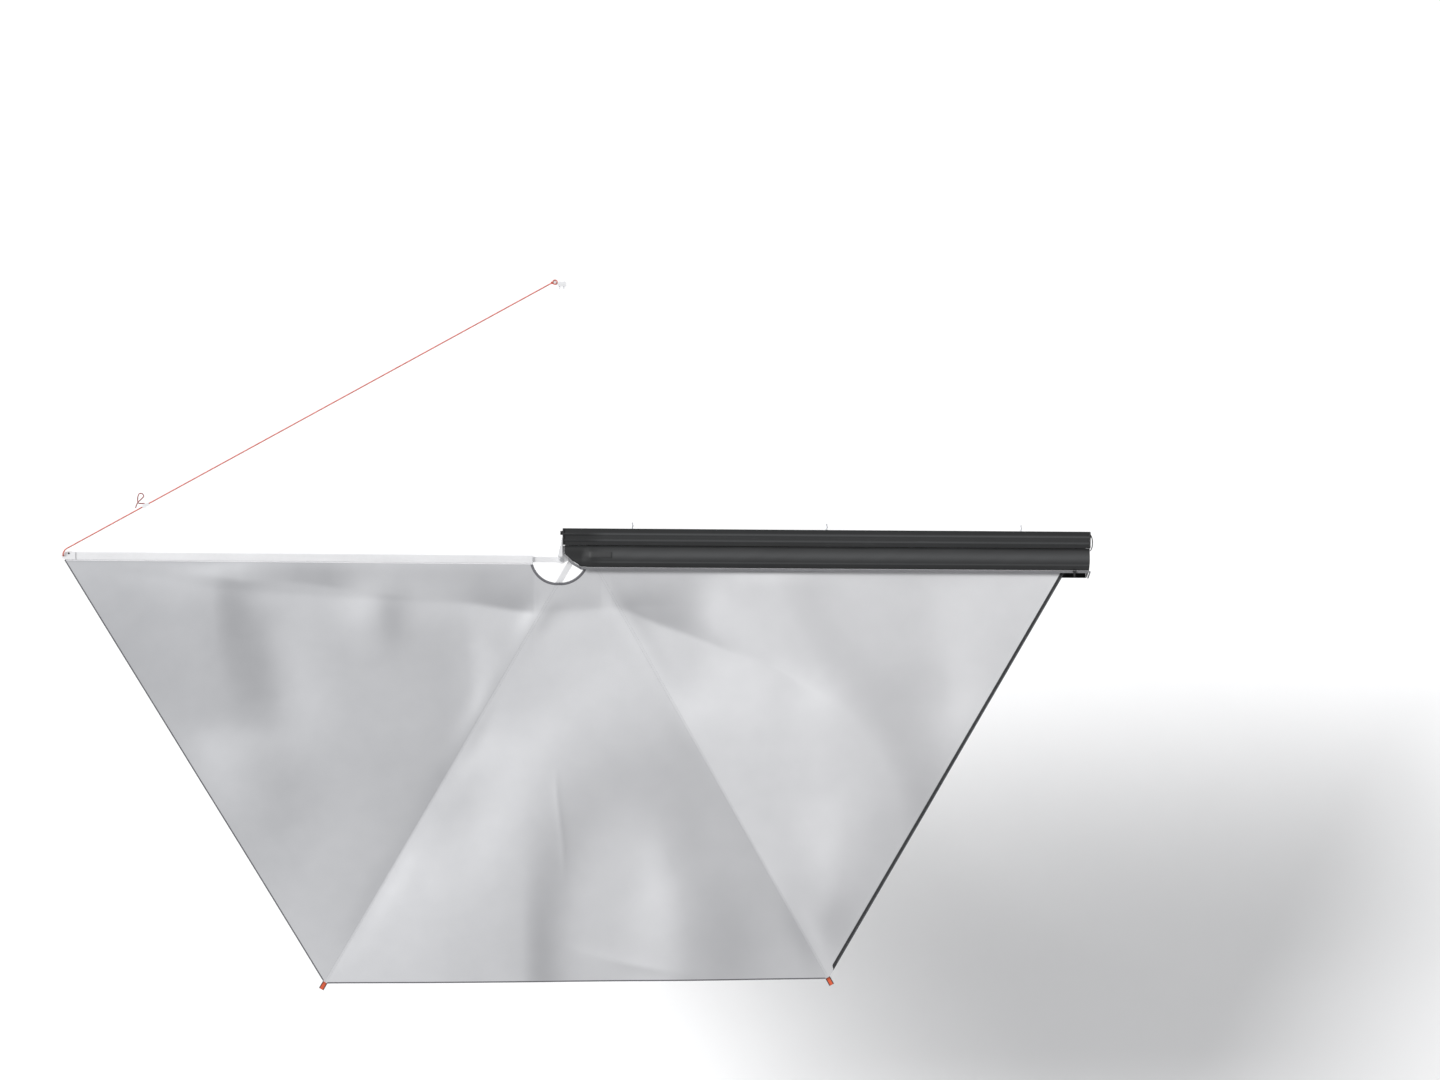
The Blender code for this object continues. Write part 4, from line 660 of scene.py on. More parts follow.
def freeRise(x, y):
    # how far folds and arms let the cloth rise: nothing at the arms and beside the cut-out
    middle, front = (np.abs(fromArm(x, y, name)[1]) for name in ("mid", "front"))
    rear = np.abs(y - arms["rear"]["pivot"][1] + canopy["edge"])
    rim = np.abs(y + canopy["innerDepth"])
    held = np.minimum(np.minimum(middle, front), np.minimum(rear, rim))
    free = 1 - np.exp(-((held / canopy["taut"]) ** 2))
    edgeFree = 1 - np.exp(-np.minimum(rear, rim) / canopy["edgeFade"])
    out = np.hypot(x - canopy["hole"][0], y - canopy["hole"][1])
    near = smoothStep((out - canopy["holeRadius"]) / canopy["holeFade"])
    folds = foldRise(x, y, softLines, False) + foldRise(x, y, creaseLines, True)
    return near * (free * folds + edgeFree * armRise(x, y))


def canopyHeight(x, y):
    # just above the arms, and away from them as high as the folds make it, within what the closed case holds
    x, y = np.asarray(x, float), np.asarray(y, float)
    top = canopy["height"] + canopy["foldShare"] * freeRise(x, y) - canopy["lowest"]
    z = canopy["lowest"] + 0.5 * (top + np.sqrt(top**2 + canopy["blend"]**2))
    low, room = canopy["limit"]
    return np.where(z > low, low + room * np.tanh((z - low) / room), z)


# Painted pools of light and shade on the coating, beyond what its folds make: (X, Y, half width, half height,
# change)
paintedPools = (
    (-1.02, -.66, .55, .26, .17), (-.30, -1.15, .25, .45, .05), (-3.25, -.62, .35, .35, -.14),
    (-2.83, -1.25, .20, .20, .09), (-.72, -1.42, .20, .32, -.14), (-2.13, -1.78, .30, .35, -.09),
    (-.75, -2.05, .50, .20, -.04), (.02, -1.90, .14, .26, -.16), (-1.82, -1.35, .22, .25, -.14),
    (-.66, -.88, .16, .14, .10), (-2.0, -.62, .5, .2, -.05), (-.25, -.62, .25, .14, -.06),
    (-.88, -.36, .15, .09, -.16), (-2.11, -.40, .10, .12, -.13), (-3.17, -.37, .25, .12, -.10),
    (-.58, -.62, .14, .12, -.09), (-.08, -1.84, .12, .20, -.14), (-2.88, -.60, .12, .16, .08),
)


# Painted light and shade on either side of creases: points along each (X, Y, change above it, change below
# it)
paintedCreaseSteps = (
    [(-3.16, -.235, 0, 0), (-3.02, -.247, .09, 0), (-2.87, -.268, .22, 0), (-2.72, -.270, 0, 0),
     (-2.58, -.277, -.14, 0), (-2.43, -.295, -.19, 0), (-2.28, -.315, 0, 0), (-2.14, -.332, .10, 0),
     (-1.84, -.362, -.03, 0), (-1.70, -.377, -.20, .03), (-1.55, -.402, -.33, .02),
     (-1.437, -.415, -.33, .02), (-1.423, -.415, -.04, .10), (-1.25, -.390, 0, .06),
     (-1.10, -.382, -.05, 0)],
    [(-1.05, -.385, -.05, .02), (-.96, -.408, -.10, .16), (-.82, -.468, -.16, .13),
     (-.67, -.520, -.16, .10), (-.52, -.575, -.14, .03), (-.40, -.620, 0, 0)],
)
paintedCreaseReach = dict(soft=0.035, above=0.16, below=0.12)


def paintedCreaseShade(x, y):
    # painted shade and light beside the creases, as a change of colour
    change = np.zeros_like(x)
    for line in paintedCreaseSteps:
        places, heights, above, below = np.array(line).T
        off = y - np.interp(x, places, heights)
        share = smoothStep(off / paintedCreaseReach["soft"] + 0.5)
        high = np.interp(x, places, above, 0, 0) * np.exp(-((np.maximum(off, 0) / paintedCreaseReach["above"]) ** 2))
        low = np.interp(x, places, below, 0, 0) * np.exp(-((np.minimum(off, 0) / paintedCreaseReach["below"]) ** 2))
        change += share * high + (1 - share) * low
    return change


slopeShine = dict(step=0.01, x=0.906, y=0.42, gain=2.0)  # x and y turn the slope to the light's side


def paintedShading(x, y):
    # painted light and shade: how far each place of the coating turns towards the light's side, by the folds'
    # full slopes, with painted pools and crease shade added
    step = slopeShine["step"]
    toX = (freeRise(x + step, y) - freeRise(x - step, y)) / (2 * step)
    toY = (freeRise(x, y + step) - freeRise(x, y - step)) / (2 * step)
    turned = slopeShine["gain"] * (slopeShine["x"] * toX - slopeShine["y"] * toY)
    # painted pools of light and shade
    wearAndPaintedLight = sum(
        change * np.exp(-(((x - px) / rx) ** 2) - ((y - py) / ry) ** 2) for px, py, rx, ry, change in paintedPools
    )
    return np.clip(0.5 + turned + wearAndPaintedLight + paintedCreaseShade(x, y), 0.0, 1.0)


def onCanopy(plan, lift=0.0):  # a line or a grid in plan, laid on the cloth
    high = canopyHeight(plan[..., 0], plan[..., 1]) + lift
    return np.concatenate([plan, high[..., None]], -1)


def lineThrough(corners, count):  # even steps along the corners, with every corner kept
    corners = np.array(corners, float)
    lengths = np.linalg.norm(np.diff(corners, axis=0), axis=1)
    points = [corners[:1]]
    for a, b, length in zip(corners, corners[1:], lengths):
        steps = max(1, int(round(count * length / lengths.sum())))
        points.append(a + (b - a) * np.arange(1, steps + 1)[:, None] / steps)
    points = np.vstack(points)
    run = distances(points)
    return points, run / run[-1]


def holeMeets(armName, side):  # where a line beside an arm leaves the round cut-out
    centre = np.array(canopy["hole"])
    start, step = beside(armName, 0.0, side) - centre, beside(armName, 1.0, side) - beside(armName, 0.0, side)
    along = -start @ step + math.sqrt((start @ step) ** 2 - start @ start + canopy["holeRadius"] ** 2)
    return centre + start + along * step


def holeArc(start, end, shares):  # the cut-out's edge: the angle and the radius both change evenly
    centre = np.array(canopy["hole"])
    a, b = start - centre, end - centre
    angleA, angleB = math.atan2(a[1], a[0]), math.atan2(b[1], b[0])
    angleB += 2 * math.pi if angleB < angleA else 0.0
    angle = angleA + (angleB - angleA) * shares
    radius = np.linalg.norm(a) + (np.linalg.norm(b) - np.linalg.norm(a)) * shares
    return centre + radius[:, None] * np.stack([np.cos(angle), np.sin(angle)], 1)


def fanPlan(inner, corners):  # straight lines from the inner edge to the outer one
    outer, shares = lineThrough(corners, canopy["columns"])
    out = np.linspace(0, 1, canopy["rows"])[:, None, None]
    return (1 - out) * inner(shares)[None] + out * outer[None]


def areaOf(plan):
    d1, d2 = plan[1:, 1:] - plan[:-1, :-1], plan[1:, :-1] - plan[:-1, 1:]
    return float(np.abs(d1[..., 0] * d2[..., 1] - d1[..., 1] * d2[..., 0]).sum() / 2)


cornerCut, seamGap = canopy["corner"], canopy["seam"]
midCorner, frontCorner = (
    [beside(name, canopy["reach"][name], side) for side in (-cornerCut, -seamGap, seamGap, cornerCut)]
    for name in ("mid", "front")
)
rearIn, rearOut = holeMeets("rear", canopy["edge"]), beside("rear", canopy["reach"]["rear"], canopy["edge"])
midIn = {side: holeMeets("mid", side) for side in (-seamGap, seamGap)}
frontIn = {side: beside("front", canopy["frontStart"], side) for side in (-seamGap, seamGap)}
caseIn = np.array((canopy["inner"][0], -canopy["innerDepth"]))
caseOut = np.array((canopy["inner"][1], -canopy["innerDepth"]))
band = dict(
    width=0.017, thick=0.0024, fromCorner=0.0344, taper=0.020, least=0.12, gap=0.0003, lead=0.0006,
    end=(caseFront - 0.0176, -0.0345), uvLength=2.45, stitchFrom=0.045, stitchShort=0.075, pitch=0.005,
)
bandEnd = np.array(band["end"])
bandAhead = (bandEnd - frontCorner[3]) / np.linalg.norm(bandEnd - frontCorner[3])
bandAcross = np.array((-bandAhead[1], bandAhead[0]))
bandStart = frontCorner[3] + band["fromCorner"] * bandAhead
bandInner = bandStart + (band["width"] + band["gap"]) * bandAcross + band["taper"] * bandAhead

rearPlan = fanPlan(lambda t: holeArc(rearIn, midIn[-seamGap], t), [rearOut, *midCorner[:2]])
midPlan = fanPlan(
    lambda t: holeArc(midIn[seamGap], frontIn[-seamGap], t), [*midCorner[2:], *frontCorner[:2]]
)
frontPlan = fanPlan(
    lambda t: frontIn[seamGap] * (1 - t[:, None]) + caseIn * t[:, None],
    [*frontCorner[2:], bandStart - band["lead"] * bandAhead, bandInner, caseOut],
)

besideMid = (*beside("mid", 0.0, 0.012), 0.0)
folding = dict(  # which body each panel is attached to, with a joint, an anchor and an angle for each
    rear=dict(body="rear_arm", joint="rear_arm_swing", anchor=(*rearOut, 0.0), angle=arms["rear"]["angle"]),
    mid=dict(body="mid_arm", joint="mid_arm_swing", anchor=besideMid, angle=arms["mid"]["angle"]),
    front=dict(body="case", joint="front_arm_swing", anchor=(0.0, -0.040, 0.0), angle=0.0),
    keep=0.012,
)


def foldsWith(piece, panel):
    fold = folding[panel]
    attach(piece, fold["body"])
    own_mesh(piece)
    return piece


for panelName, plan in (("rear", rearPlan), ("mid", midPlan), ("front", frontPlan)):
    name = f"canopy{panelName.capitalize()}Cloth"
    sheet = clothPiece(name, onCanopy(plan), looks["canopy"], canopy["cloth"], plan)
    # painted light and shade, stored per point for the cloth's colour
    paintedLightAndShade = sheet.data.attributes.new("paintedShading", "FLOAT", "POINT")
    paintedLightAndShade.data.foreach_set("value", paintedShading(plan[..., 0], plan[..., 1]).astype(np.float32).ravel())
    foldsWith(sheet, panelName)
    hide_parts(f"canopy_{panelName}_panel")
print("canopy cloth made, areas", [round(areaOf(plan), 2) for plan in (rearPlan, midPlan, frontPlan)])


def edgePath(a, b, count, lift=0.0):
    return onCanopy(a + (b - a) * np.linspace(0, 1, count)[:, None], lift)


trims = {"rear": [], "mid": [], "front": []}


def trim(panelName, piece):  # sewn to its panel, and attached to the same body
    trims[panelName].append(foldsWith(piece, panelName))


def inset(path, centre, distance):  # moves a path in plan towards a point
    toCentre = np.array(centre) - path[:, :2].mean(0)
    ahead = (path[-1, :2] - path[0, :2]) / np.linalg.norm(path[-1, :2] - path[0, :2])
    normal = np.array((-ahead[1], ahead[0]))
    normal *= np.sign(normal @ toCentre)
    moved = path.copy()
    moved[:, :2] += distance * normal
    moved[:, 2] = canopyHeight(moved[:, 0], moved[:, 1])
    return moved


hem = dict(width=0.0065, thick=0.0026, over=0.0002, stitches=0.0016, pitch=0.0045)
hemProfile = bandProfile(hem["width"], hem["thick"])
for panelName, name, a, b in (
    ("rear", "hemLeft", rearOut, midCorner[0]), ("mid", "hemBottom", midCorner[3], frontCorner[0])
):
    path = inset(edgePath(a, b, 200), canopy["hole"], 0.5 * hem["width"] - hem["over"])
    trim(panelName, carried(name, path, hemProfile, looks["hem"]))
    row = inset(edgePath(a, b, 400), canopy["hole"], hem["width"] - hem["stitches"])
    row[:, 2] += hem["thick"] / 2
    trim(panelName, stitchRow(name + "Stitches", row, hem["pitch"], looks["darkThread"]))

rim = dict(width=0.013, thick=0.0028, over=0.001, stitches=0.0035, pitch=0.004)
rimProfile = bandProfile(rim["width"], rim["thick"])
for panelName, name, a, b in (
    ("rear", "rimRear", rearIn, midIn[-seamGap]), ("mid", "rimMid", midIn[seamGap], frontIn[-seamGap])
):
    plan = holeArc(a, b, np.linspace(0.0, 1.0, 60))
    centre = np.array(canopy["hole"])
    out = plan - centre
    plan = centre + out * (1 + (rim["width"] / 2 - rim["over"]) / np.linalg.norm(out, axis=1))[:, None]
    path = onCanopy(plan)
    trim(panelName, carried(name, path, rimProfile, looks["hem"]))
    row, out = path.copy(), plan - centre
    row[:, :2] = centre + out * (1 + rim["stitches"] / np.linalg.norm(out, axis=1))[:, None]
    row[:, 2] += rim["thick"] / 2
    trim(panelName, stitchRow(name + "Stitches", row, rim["pitch"], looks["darkThread"]))

seam = dict(pitch=0.0045, thread=0.00035, lift=0.0001)
for panelName, armName, side, start, stop in (
    ("rear", "mid", -0.006, 0.20, 2.43), ("mid", "mid", 0.006, 0.20, 2.43),
    ("mid", "front", -0.006, 0.10, 2.44), ("front", "front", 0.006, 0.10, 2.44),
):
    path = edgePath(beside(armName, start, side), beside(armName, stop, side), 300, canopy["cloth"] / 2)
    name = f"{armName}Seam{panelName.capitalize()}"
    trim(panelName, stitchRow(name, path, seam["pitch"], looks["silverThread"], seam["thread"], seam["lift"]))
print("hems, cut-out binding and seams made")


# The black binding of the front edge, with its own stitching

bandLength = np.linalg.norm(bandEnd - bandStart)
bandShare = np.concatenate([np.linspace(0, 0.012, 6), np.linspace(0.016, 1, 220)])
bandPlan = bandStart + (bandEnd - bandStart) * bandShare[:, None]
taper = smoothStep((bandShare * bandLength + 0.002) / (band["taper"] + 0.004))
wideHere = band["width"] * np.maximum(taper, band["least"])
inner = bandPlan + wideHere[:, None] * bandAcross
slip = np.minimum(0.0, (bandEnd[1] - inner[:, 1]) / bandAhead[1])  # the inner side ends where the rail begins
inner = inner + slip[:, None] * bandAhead
acrossShare = np.linspace(0, 1, 9)[None, :, None]
bandGrid = bandPlan[:, None] * (1 - acrossShare) + inner[:, None] * acrossShare
bandUv = uvGrid(band["width"] * acrossShare[..., 0], (bandShare * band["uvLength"])[:, None])
bandPiece = clothPiece("frontBinding", onCanopy(bandGrid), looks["band"], band["thick"], bandUv)
trim("front", bandPiece)
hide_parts("canopy_edge_band")
for number, (fromEdge, look) in enumerate(((0.0130, "thread"), (0.0030, "darkThread"))):
    run = band["stitchFrom"] + (bandLength - band["stitchShort"]) * np.linspace(0, 1, 300)[:, None]
    plan = bandStart + run * bandAhead + (band["width"] - fromEdge) * bandAcross
    path = onCanopy(plan, band["thick"] / 2)
    trim("front", stitchRow(f"bindingStitches{number + 1}", path, band["pitch"], looks[look]))
print("front binding made")


# Webbing tabs at the two outer corners: a strap down from the canopy, over itself and back to the arm's end

def tabMaterial():
    # orange webbing with black edges, ribbed across its length
    material, tree, shader, place, uv = newMaterial("orangeTabWebbing", 0.7, sheen=0.15)
    places = tree.split(uv)
    fromMiddle = tree.math("ABSOLUTE", tree.math("SUBTRACT", places[0], tab["width"] / 2))
    edge = tree.ramp(fromMiddle, tab["orange"] / 2 - 0.0004, tab["orange"] / 2 + 0.0004)
    ribs = tree.math("SINE", tree.math("MULTIPLY", places[1], 2 * math.pi / 0.0022))
    twill = tree.math("SINE", tree.math("MULTIPLY", places[0], 2 * math.pi / 0.0012))
    high = tree.ramp(tree.math("ADD", ribs, tree.math("MULTIPLY", twill, 0.6)), -1.6, 1.6)
    tone = tree.use(mottle, place, Scale=25.0)["Tone"]
    orange = tree.mix(tone, (0.56, 0.070, 0.018), (0.66, 0.095, 0.026))
    colour = tree.mix(edge, orange, (0.02, 0.02, 0.022))
    # painted shade between the ribs
    shadeBetweenThreads = tree.ramp(high, 0.0, 0.4, 0.4, 0.0)
    tree.link(tree.mix(shadeBetweenThreads, colour, (0.05, 0.02, 0.01)), shader.inputs["Base Color"])
    tree.link(tree.bump(high, 0.7, 0.0003), shader.inputs["Normal"])
    return material


tab = dict(
    width=0.025, orange=0.016, thick=0.0016, out=0.041, capOut=0.0053, capGap=0.0012, keep=0.35,
    tacks=(0.006, 0.0115), tackHigh=0.0074, tackHalf=0.009, tackPitch=0.0025, tackLift=0.0003,
)
looks["tab"] = tabMaterial()
tabLength = {"mid": 2.438, "front": 2.445}  # each arm's length, from its bolt to its tube's end


def tucksIn(piece, armName):  # the tab is attached to its arm, and moves with it as the arm folds into the case
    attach(piece, armName + "_arm")
    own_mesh(piece)


for armName in ("mid", "front"):
    reach, end = canopy["reach"][armName], tabLength[armName] + tab["capOut"] + tab["capGap"]
    far = reach + tab["out"] + 0.0005
    route = [
        (end, -0.0240), (end, -0.0120), (end + 0.003, -0.0050), (end + 0.020, -0.0005), (far - 0.006, 0.0018),
        (far - 0.0005, 0.0030), (far, 0.0046), (far - 0.001, 0.0060), (far - 0.006, 0.0064),
        (far - 0.020, 0.0063), (reach + 0.010, 0.0063), (reach + 0.002, 0.0063),
    ]
    line = curveThrough(route, 60)
    c, s = math.cos(arms[armName]["angle"]), math.sin(arms[armName]["angle"])
    px, py = arms[armName]["pivot"]
    path = np.column_stack([px + line[:, 0] * c, py + line[:, 0] * s, line[:, 1]])
    acrossLine = np.linspace(-0.5, 0.5, 13) * tab["width"]
    grid = path[:, None] + acrossLine[None, :, None] * np.array((-s, c, 0.0))
    uv = uvGrid((acrossLine + tab["width"] / 2)[None], distances(path)[:, None])
    piece = clothPiece(armName + "CornerTab", grid, looks["tab"], tab["thick"], uv)
    tucksIn(piece, armName)
    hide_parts(armName + "_corner_tab")
    for number, back in enumerate(tab["tacks"]):
        a = np.array([px + (reach + back) * c, py + (reach + back) * s, tab["tackHigh"]])
        across = np.array((-s, c, 0.0)) * tab["tackHalf"]
        tack = np.linspace(0, 1, 40)[:, None] * 2 * across + a - across
        name = f"{armName}TabTack{number + 1}"
        row = stitchRow(name, tack, tab["tackPitch"], looks["darkThread"], lift=tab["tackLift"])
        tucksIn(row, armName)
print("corner tabs made")


# The bag

bag = dict(
    cloth=0.0022,
    outline=[(0.0838, 0.0600), (0.0930, 0.0545), (0.1120, 0.0610), (0.1340, 0.0660), (0.1500, 0.0635),
             (0.1640, 0.0575), (0.1780, 0.0460), (0.1880, 0.0345)],
    notch=[(0.004, 0.124), (0.021, 0.140), (0.0382, 0.157), (0.083, 0.184), (0.123, 0.188)],
    hollow=0.018, hollowReach=0.138, hollowFade=0.055, hollowDepth=0.140, hollowSpread=0.032,
    flap=[(0.0360, -0.0720), (0.0700, -0.0800), (0.1200, -0.0850), (0.1750, -0.0820), (0.2080, -0.0730),
          (0.2265, -0.0600)],
    flapNotch=[(0.021, 0.110), (0.0382, 0.150), (0.083, 0.197), (0.123, 0.2265)],
    flapFrom=0.0353,
    settle=0.08,  # over this length the wrinkles die out before the front end
    columns=420,
    rows=46,
)
coverLine, flapLine = curveThrough(bag["outline"], 200), curveThrough(bag["flap"], 120)
notchPlaces, notchDepths = np.array(bag["notch"]).T
flapPlaces, flapDepths = np.array(bag["flapNotch"]).T


def onCase(piece, node):  # takes the place of a part of the case
    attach(piece, "case")
    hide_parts(node)


def coverEdge(x):
    return np.interp(x - caseRear, notchPlaces, notchDepths)


def flapHeight(depth):
    return np.interp(depth, flapLine[:, 0], flapLine[:, 1])


def wrinkles(x, depth, free):  # long low waves along the case that cross a few short ones
    waves = 0.0009 * np.sin(7.3 * x + 40 * depth) + 0.0006 * np.sin(19.0 * x - 60 * depth + 1.0)
    waves += 0.0004 * np.sin(43.0 * x + 90 * depth + 2.1) * np.sin(5.1 * x)
    return waves * free


def coverHeight(x, depth):
    z = np.interp(depth, coverLine[:, 0], coverLine[:, 1])
    near = smoothStep((caseRear + bag["hollowReach"] - x) / bag["hollowFade"])
    return z - bag["hollow"] * np.exp(-(((depth - bag["hollowDepth"]) / bag["hollowSpread"]) ** 2)) * near


def draped(xs, low, high, height, loose):  # a grid over the case: places along it, depths across it
    share = np.linspace(0, 1, bag["rows"])[None, :]
    x = np.broadcast_to(xs[:, None], (len(xs), bag["rows"]))
    depth = low + (high[:, None] - low) * share
    free = np.minimum(1.0, 6 * np.minimum(share, 1 - share)) * smoothStep((caseFront - x) / bag["settle"])
    z = height(x, depth) + wrinkles(x, depth, free) * loose
    return np.stack([x, -depth, z], -1), np.stack([x, depth], -1)


def placesAlong(first, last, close, again, end):  # close steps beside the hinge, even ones along the case
    return np.concatenate([
        np.linspace(caseRear + first, caseRear + last, close),
        np.linspace(caseRear + again, end, bag["columns"]),
    ])


stations = placesAlong(0.004, 0.14, 60, 0.143, caseFront)
grid, uv = draped(stations, bag["outline"][0][0], coverEdge(stations), coverHeight, 1.0)
cover = clothPiece("bagCover", grid, looks["bag"], bag["cloth"], uv, True)
onCase(cover, "bag_cover")

stations = placesAlong(0.021, 0.125, 40, 0.13, caseFront)
flapHigh = np.interp(stations - caseRear, flapPlaces, flapDepths)
grid, uv = draped(stations, bag["flapFrom"], flapHigh, lambda x, depth: flapHeight(depth), 1.6)
flap = clothPiece("bagFlap", grid, looks["bag"], bag["cloth"], uv, True)
onCase(flap, "bag_flap")

endLow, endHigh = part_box("bag_front_end")
ending = dict(
    depths=(0.0826, 0.2262), width=0.1436, cover=(0.188, 0.0345), last=-0.060, puff=0.0012, back=0.0004
)
depths = np.linspace(*ending["depths"], 60)
underCover = np.interp(depths, coverLine[:, 0], coverLine[:, 1])
coverDepth, coverZ = ending["cover"]
beyond = np.interp(depths, (coverDepth, ending["depths"][1]), (coverZ, ending["last"]))
topZ = np.where(depths < coverDepth, underCover, beyond)
lowZ = flapHeight(depths)
share = np.linspace(0, 1, 40)[None, :]
z = lowZ[:, None] + (topZ - lowZ)[:, None] * share
bulge = np.sin(math.pi * (depths[:, None] - ending["depths"][0]) / ending["width"])
puff = ending["puff"] * np.sin(math.pi * share) * bulge
endX = (endLow.x + endHigh.x) / 2 + puff - ending["back"]
grid = np.stack([endX, -np.broadcast_to(depths[:, None], z.shape), z], -1)
frontEnd = clothPiece("bagFrontEnd", grid, looks["bag"], bag["cloth"], grid[..., 1:])
onCase(frontEnd, "bag_front_end")
print("bag made")


# The zip along the cover's edge: tape, teeth, stitches, and the piping down the front end

zipper = dict(
    start=0.0018, width=0.0125, thick=0.0020, drop=0.002, pitch=0.0028, piping=0.0035,
    toothLine=(0.0012, 0.0016), toothHalf=0.0018, length=2.5, slantTo=0.094, slant=0.80, stand=0.0025,
    stitches=(0.0062, 0.0110), stitchPitch=0.0035, thread=0.0004,
)
zipStations = placesAlong(0.021, 0.125, 80, 0.128, caseFront - 0.001)
zipHeight = coverHeight(zipStations, coverEdge(zipStations)) - 0.001
slant = np.where(zipStations < caseRear + zipper["slantTo"], zipper["slant"], 1.0)


def alongZip(out, lift=0.0):  # a line this far out from the cover's edge, on the tape
    share = out / zipper["width"]
    depth = coverEdge(zipStations) + (zipper["start"] + out) / slant
    return np.column_stack([zipStations, -depth, zipHeight - zipper["drop"] * share + lift])


across = np.linspace(0, 1, 6)[None, :, None]
grid = alongZip(0)[:, None] * (1 - across) + alongZip(zipper["width"])[:, None] * across
uv = uvGrid(zipper["width"] * across[..., 0], zipStations[:, None])
tape = clothPiece("zipTape", grid, looks["zipTape"], zipper["thick"], uv, True)
onCase(tape, "bag_zip")

even = evenSteps(alongZip(*zipper["toothLine"]), int(zipper["length"] / zipper["pitch"]))
toothSide = np.cross(np.gradient(even, axis=0), (0.0, 0.0, 1.0))
toothSide /= np.linalg.norm(toothSide, axis=1)[:, None]
half = zipper["toothHalf"] * toothSide
teeth = capsules("zipTeeth", even - half, even + half, looks["zipTeeth"], 0.0009, 0.0003)
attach(teeth, "case")
for number, out in enumerate(zipper["stitches"]):
    path = alongZip(out, zipper["thick"] / 2)
    name = f"zipStitches{number + 1}"
    row = stitchRow(name, path, zipper["stitchPitch"], looks["darkThread"], zipper["thread"])
    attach(row, "case")

corner = np.array([caseFront, -bag["notch"][-1][1] - 0.008, zipHeight[-1] - zipper["drop"] / 2])
down = corner[0] + 2 * zipper["stand"] + zipper["piping"]
flapEnd = bag["flap"][-1]
route = [
    corner + (-0.008, 0, 0), corner + (0.003, 0, 0), (down, corner[1] - 0.001, corner[2] - 0.004),
    (down, corner[1] - 0.012, corner[2] - 0.030), (down, -flapEnd[0], flapEnd[1] + 0.006),
]
line = curveThrough(route, 90)
line = line[line[:, 2] >= route[-1][2] - 1e-4]
piping = carried("frontPiping", line, ringProfile(zipper["piping"], 14), looks["zipTape"], side=(0, 1, 0))
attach(piping, "case")
print("zip made,", len(even), "teeth")


# Seams of the cover: a hem row beside the zip and a row over the case's edge

coverSeam = dict(hem=0.005, ridge=0.0905, ridgeFrom=0.15, end=0.004, lift=0.0003, pitch=0.004, thread=0.0004)
ridgeStart = stations[stations > caseRear + coverSeam["ridgeFrom"]][0]
for name, first, depthOf in (
    ("coverHemStitches", stations[0], lambda x: coverEdge(x) - coverSeam["hem"]),
    ("coverRidgeStitches", ridgeStart, lambda x: np.full_like(x, coverSeam["ridge"])),
):
    x = np.linspace(first, caseFront - coverSeam["end"], 900)
    depth = depthOf(x)
    path = np.column_stack([x, -depth, coverHeight(x, depth) + bag["cloth"] / 2 + coverSeam["lift"]])
    row = stitchRow(name, path, coverSeam["pitch"], looks["darkThread"], coverSeam["thread"])
    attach(row, "case")


# The plain patch

patch = dict(x=(-1.160, -1.050), share=(4 / 14, 8 / 14), lift=0.0026, thick=0.0008, size=(0.110, 0.030))


def onPatch(u, v, lift=0.0):  # u along the case, v across the cover, both from 0 to 1
    x = patch["x"][0] + (patch["x"][1] - patch["x"][0]) * u
    share = patch["share"][0] + (patch["share"][1] - patch["share"][0]) * v
    depth = bag["outline"][0][0] + (coverEdge(x) - bag["outline"][0][0]) * share
    return np.stack([x, -depth, coverHeight(x, depth) + patch["lift"] + lift], -1)


u, v = np.meshgrid(np.linspace(0, 1, 60), np.linspace(0, 1, 24), indexing="ij")
uv = np.stack([u * patch["size"][0], v * patch["size"][1]], -1)
label = clothPiece("plainPatch", onPatch(u, v), looks["patch"], patch["thick"], uv, True)
onCase(label, "label_patch")
corners = [(0.02, 0.07), (0.98, 0.07), (0.98, 0.93), (0.02, 0.93), (0.02, 0.07)]
ring = lineThrough(corners, 260)[0]
row = stitchRow("patchStitches", onPatch(ring[:, 0], ring[:, 1], 0.0005), 0.003, looks["darkThread"], 0.0003)
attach(row, "case")


# The pull loop at the front end

loop = dict(x=caseFront + 0.0066, depth=0.0545, half=0.0400, reach=0.0155, high=0.025, thick=0.0018)
turn = np.linspace(0, math.pi, 60)
path = np.column_stack([
    loop["x"] + loop["reach"] * np.sin(turn), -loop["depth"] - loop["half"] * np.cos(turn),
    np.full(60, loop["high"] / 2),
])
grid = path[:, None] + np.linspace(-0.5, 0.5, 11)[None, :, None] * np.array((0, 0, loop["high"] - 0.001))
uv = uvGrid(np.linspace(0, loop["high"], 11)[None], distances(path)[:, None])
handle = clothPiece("pullLoop", grid, looks["loop"], loop["thick"], uv)
onCase(handle, "pull_loop")
print("patch and pull loop made")


# The guy rope, its knots, the loop at the bracket and the tensioner's tail

rope = dict(
    z=0.0125, radius=0.0030, tail=0.0025, post=(-1.3375, 1.2050), loop=0.0110, tensioner=0.4282,
    bend=[(-3.7385, -0.1400), (-3.7330, -0.1270), (-3.7240, -0.1175), (-3.7099, -0.1096)],
    end=(-1.3549, 1.2003),
    tailRoute=[(0, .0108, .0005), (-.014, .0175, .001), (-.026, .028, .0015), (-.018, .048, .0022),
               (-.002, .0635, .003), (.0125, .058, .0035), (.013, .043, .004), (-.004, .036, .0058),
               (-.024, .0305, .0085), (-.038, .021, .0085), (-.049, .012, .006)],
)
eye = np.array(joints["guy_line_swing"]["pos_m"][:2])
leaves, arrives = np.array(rope["bend"][-1]), np.array(rope["end"])
straight = [leaves + (arrives - leaves) * share for share in (0.025, 0.16, 0.34, 0.55, 0.77, 1.0)]
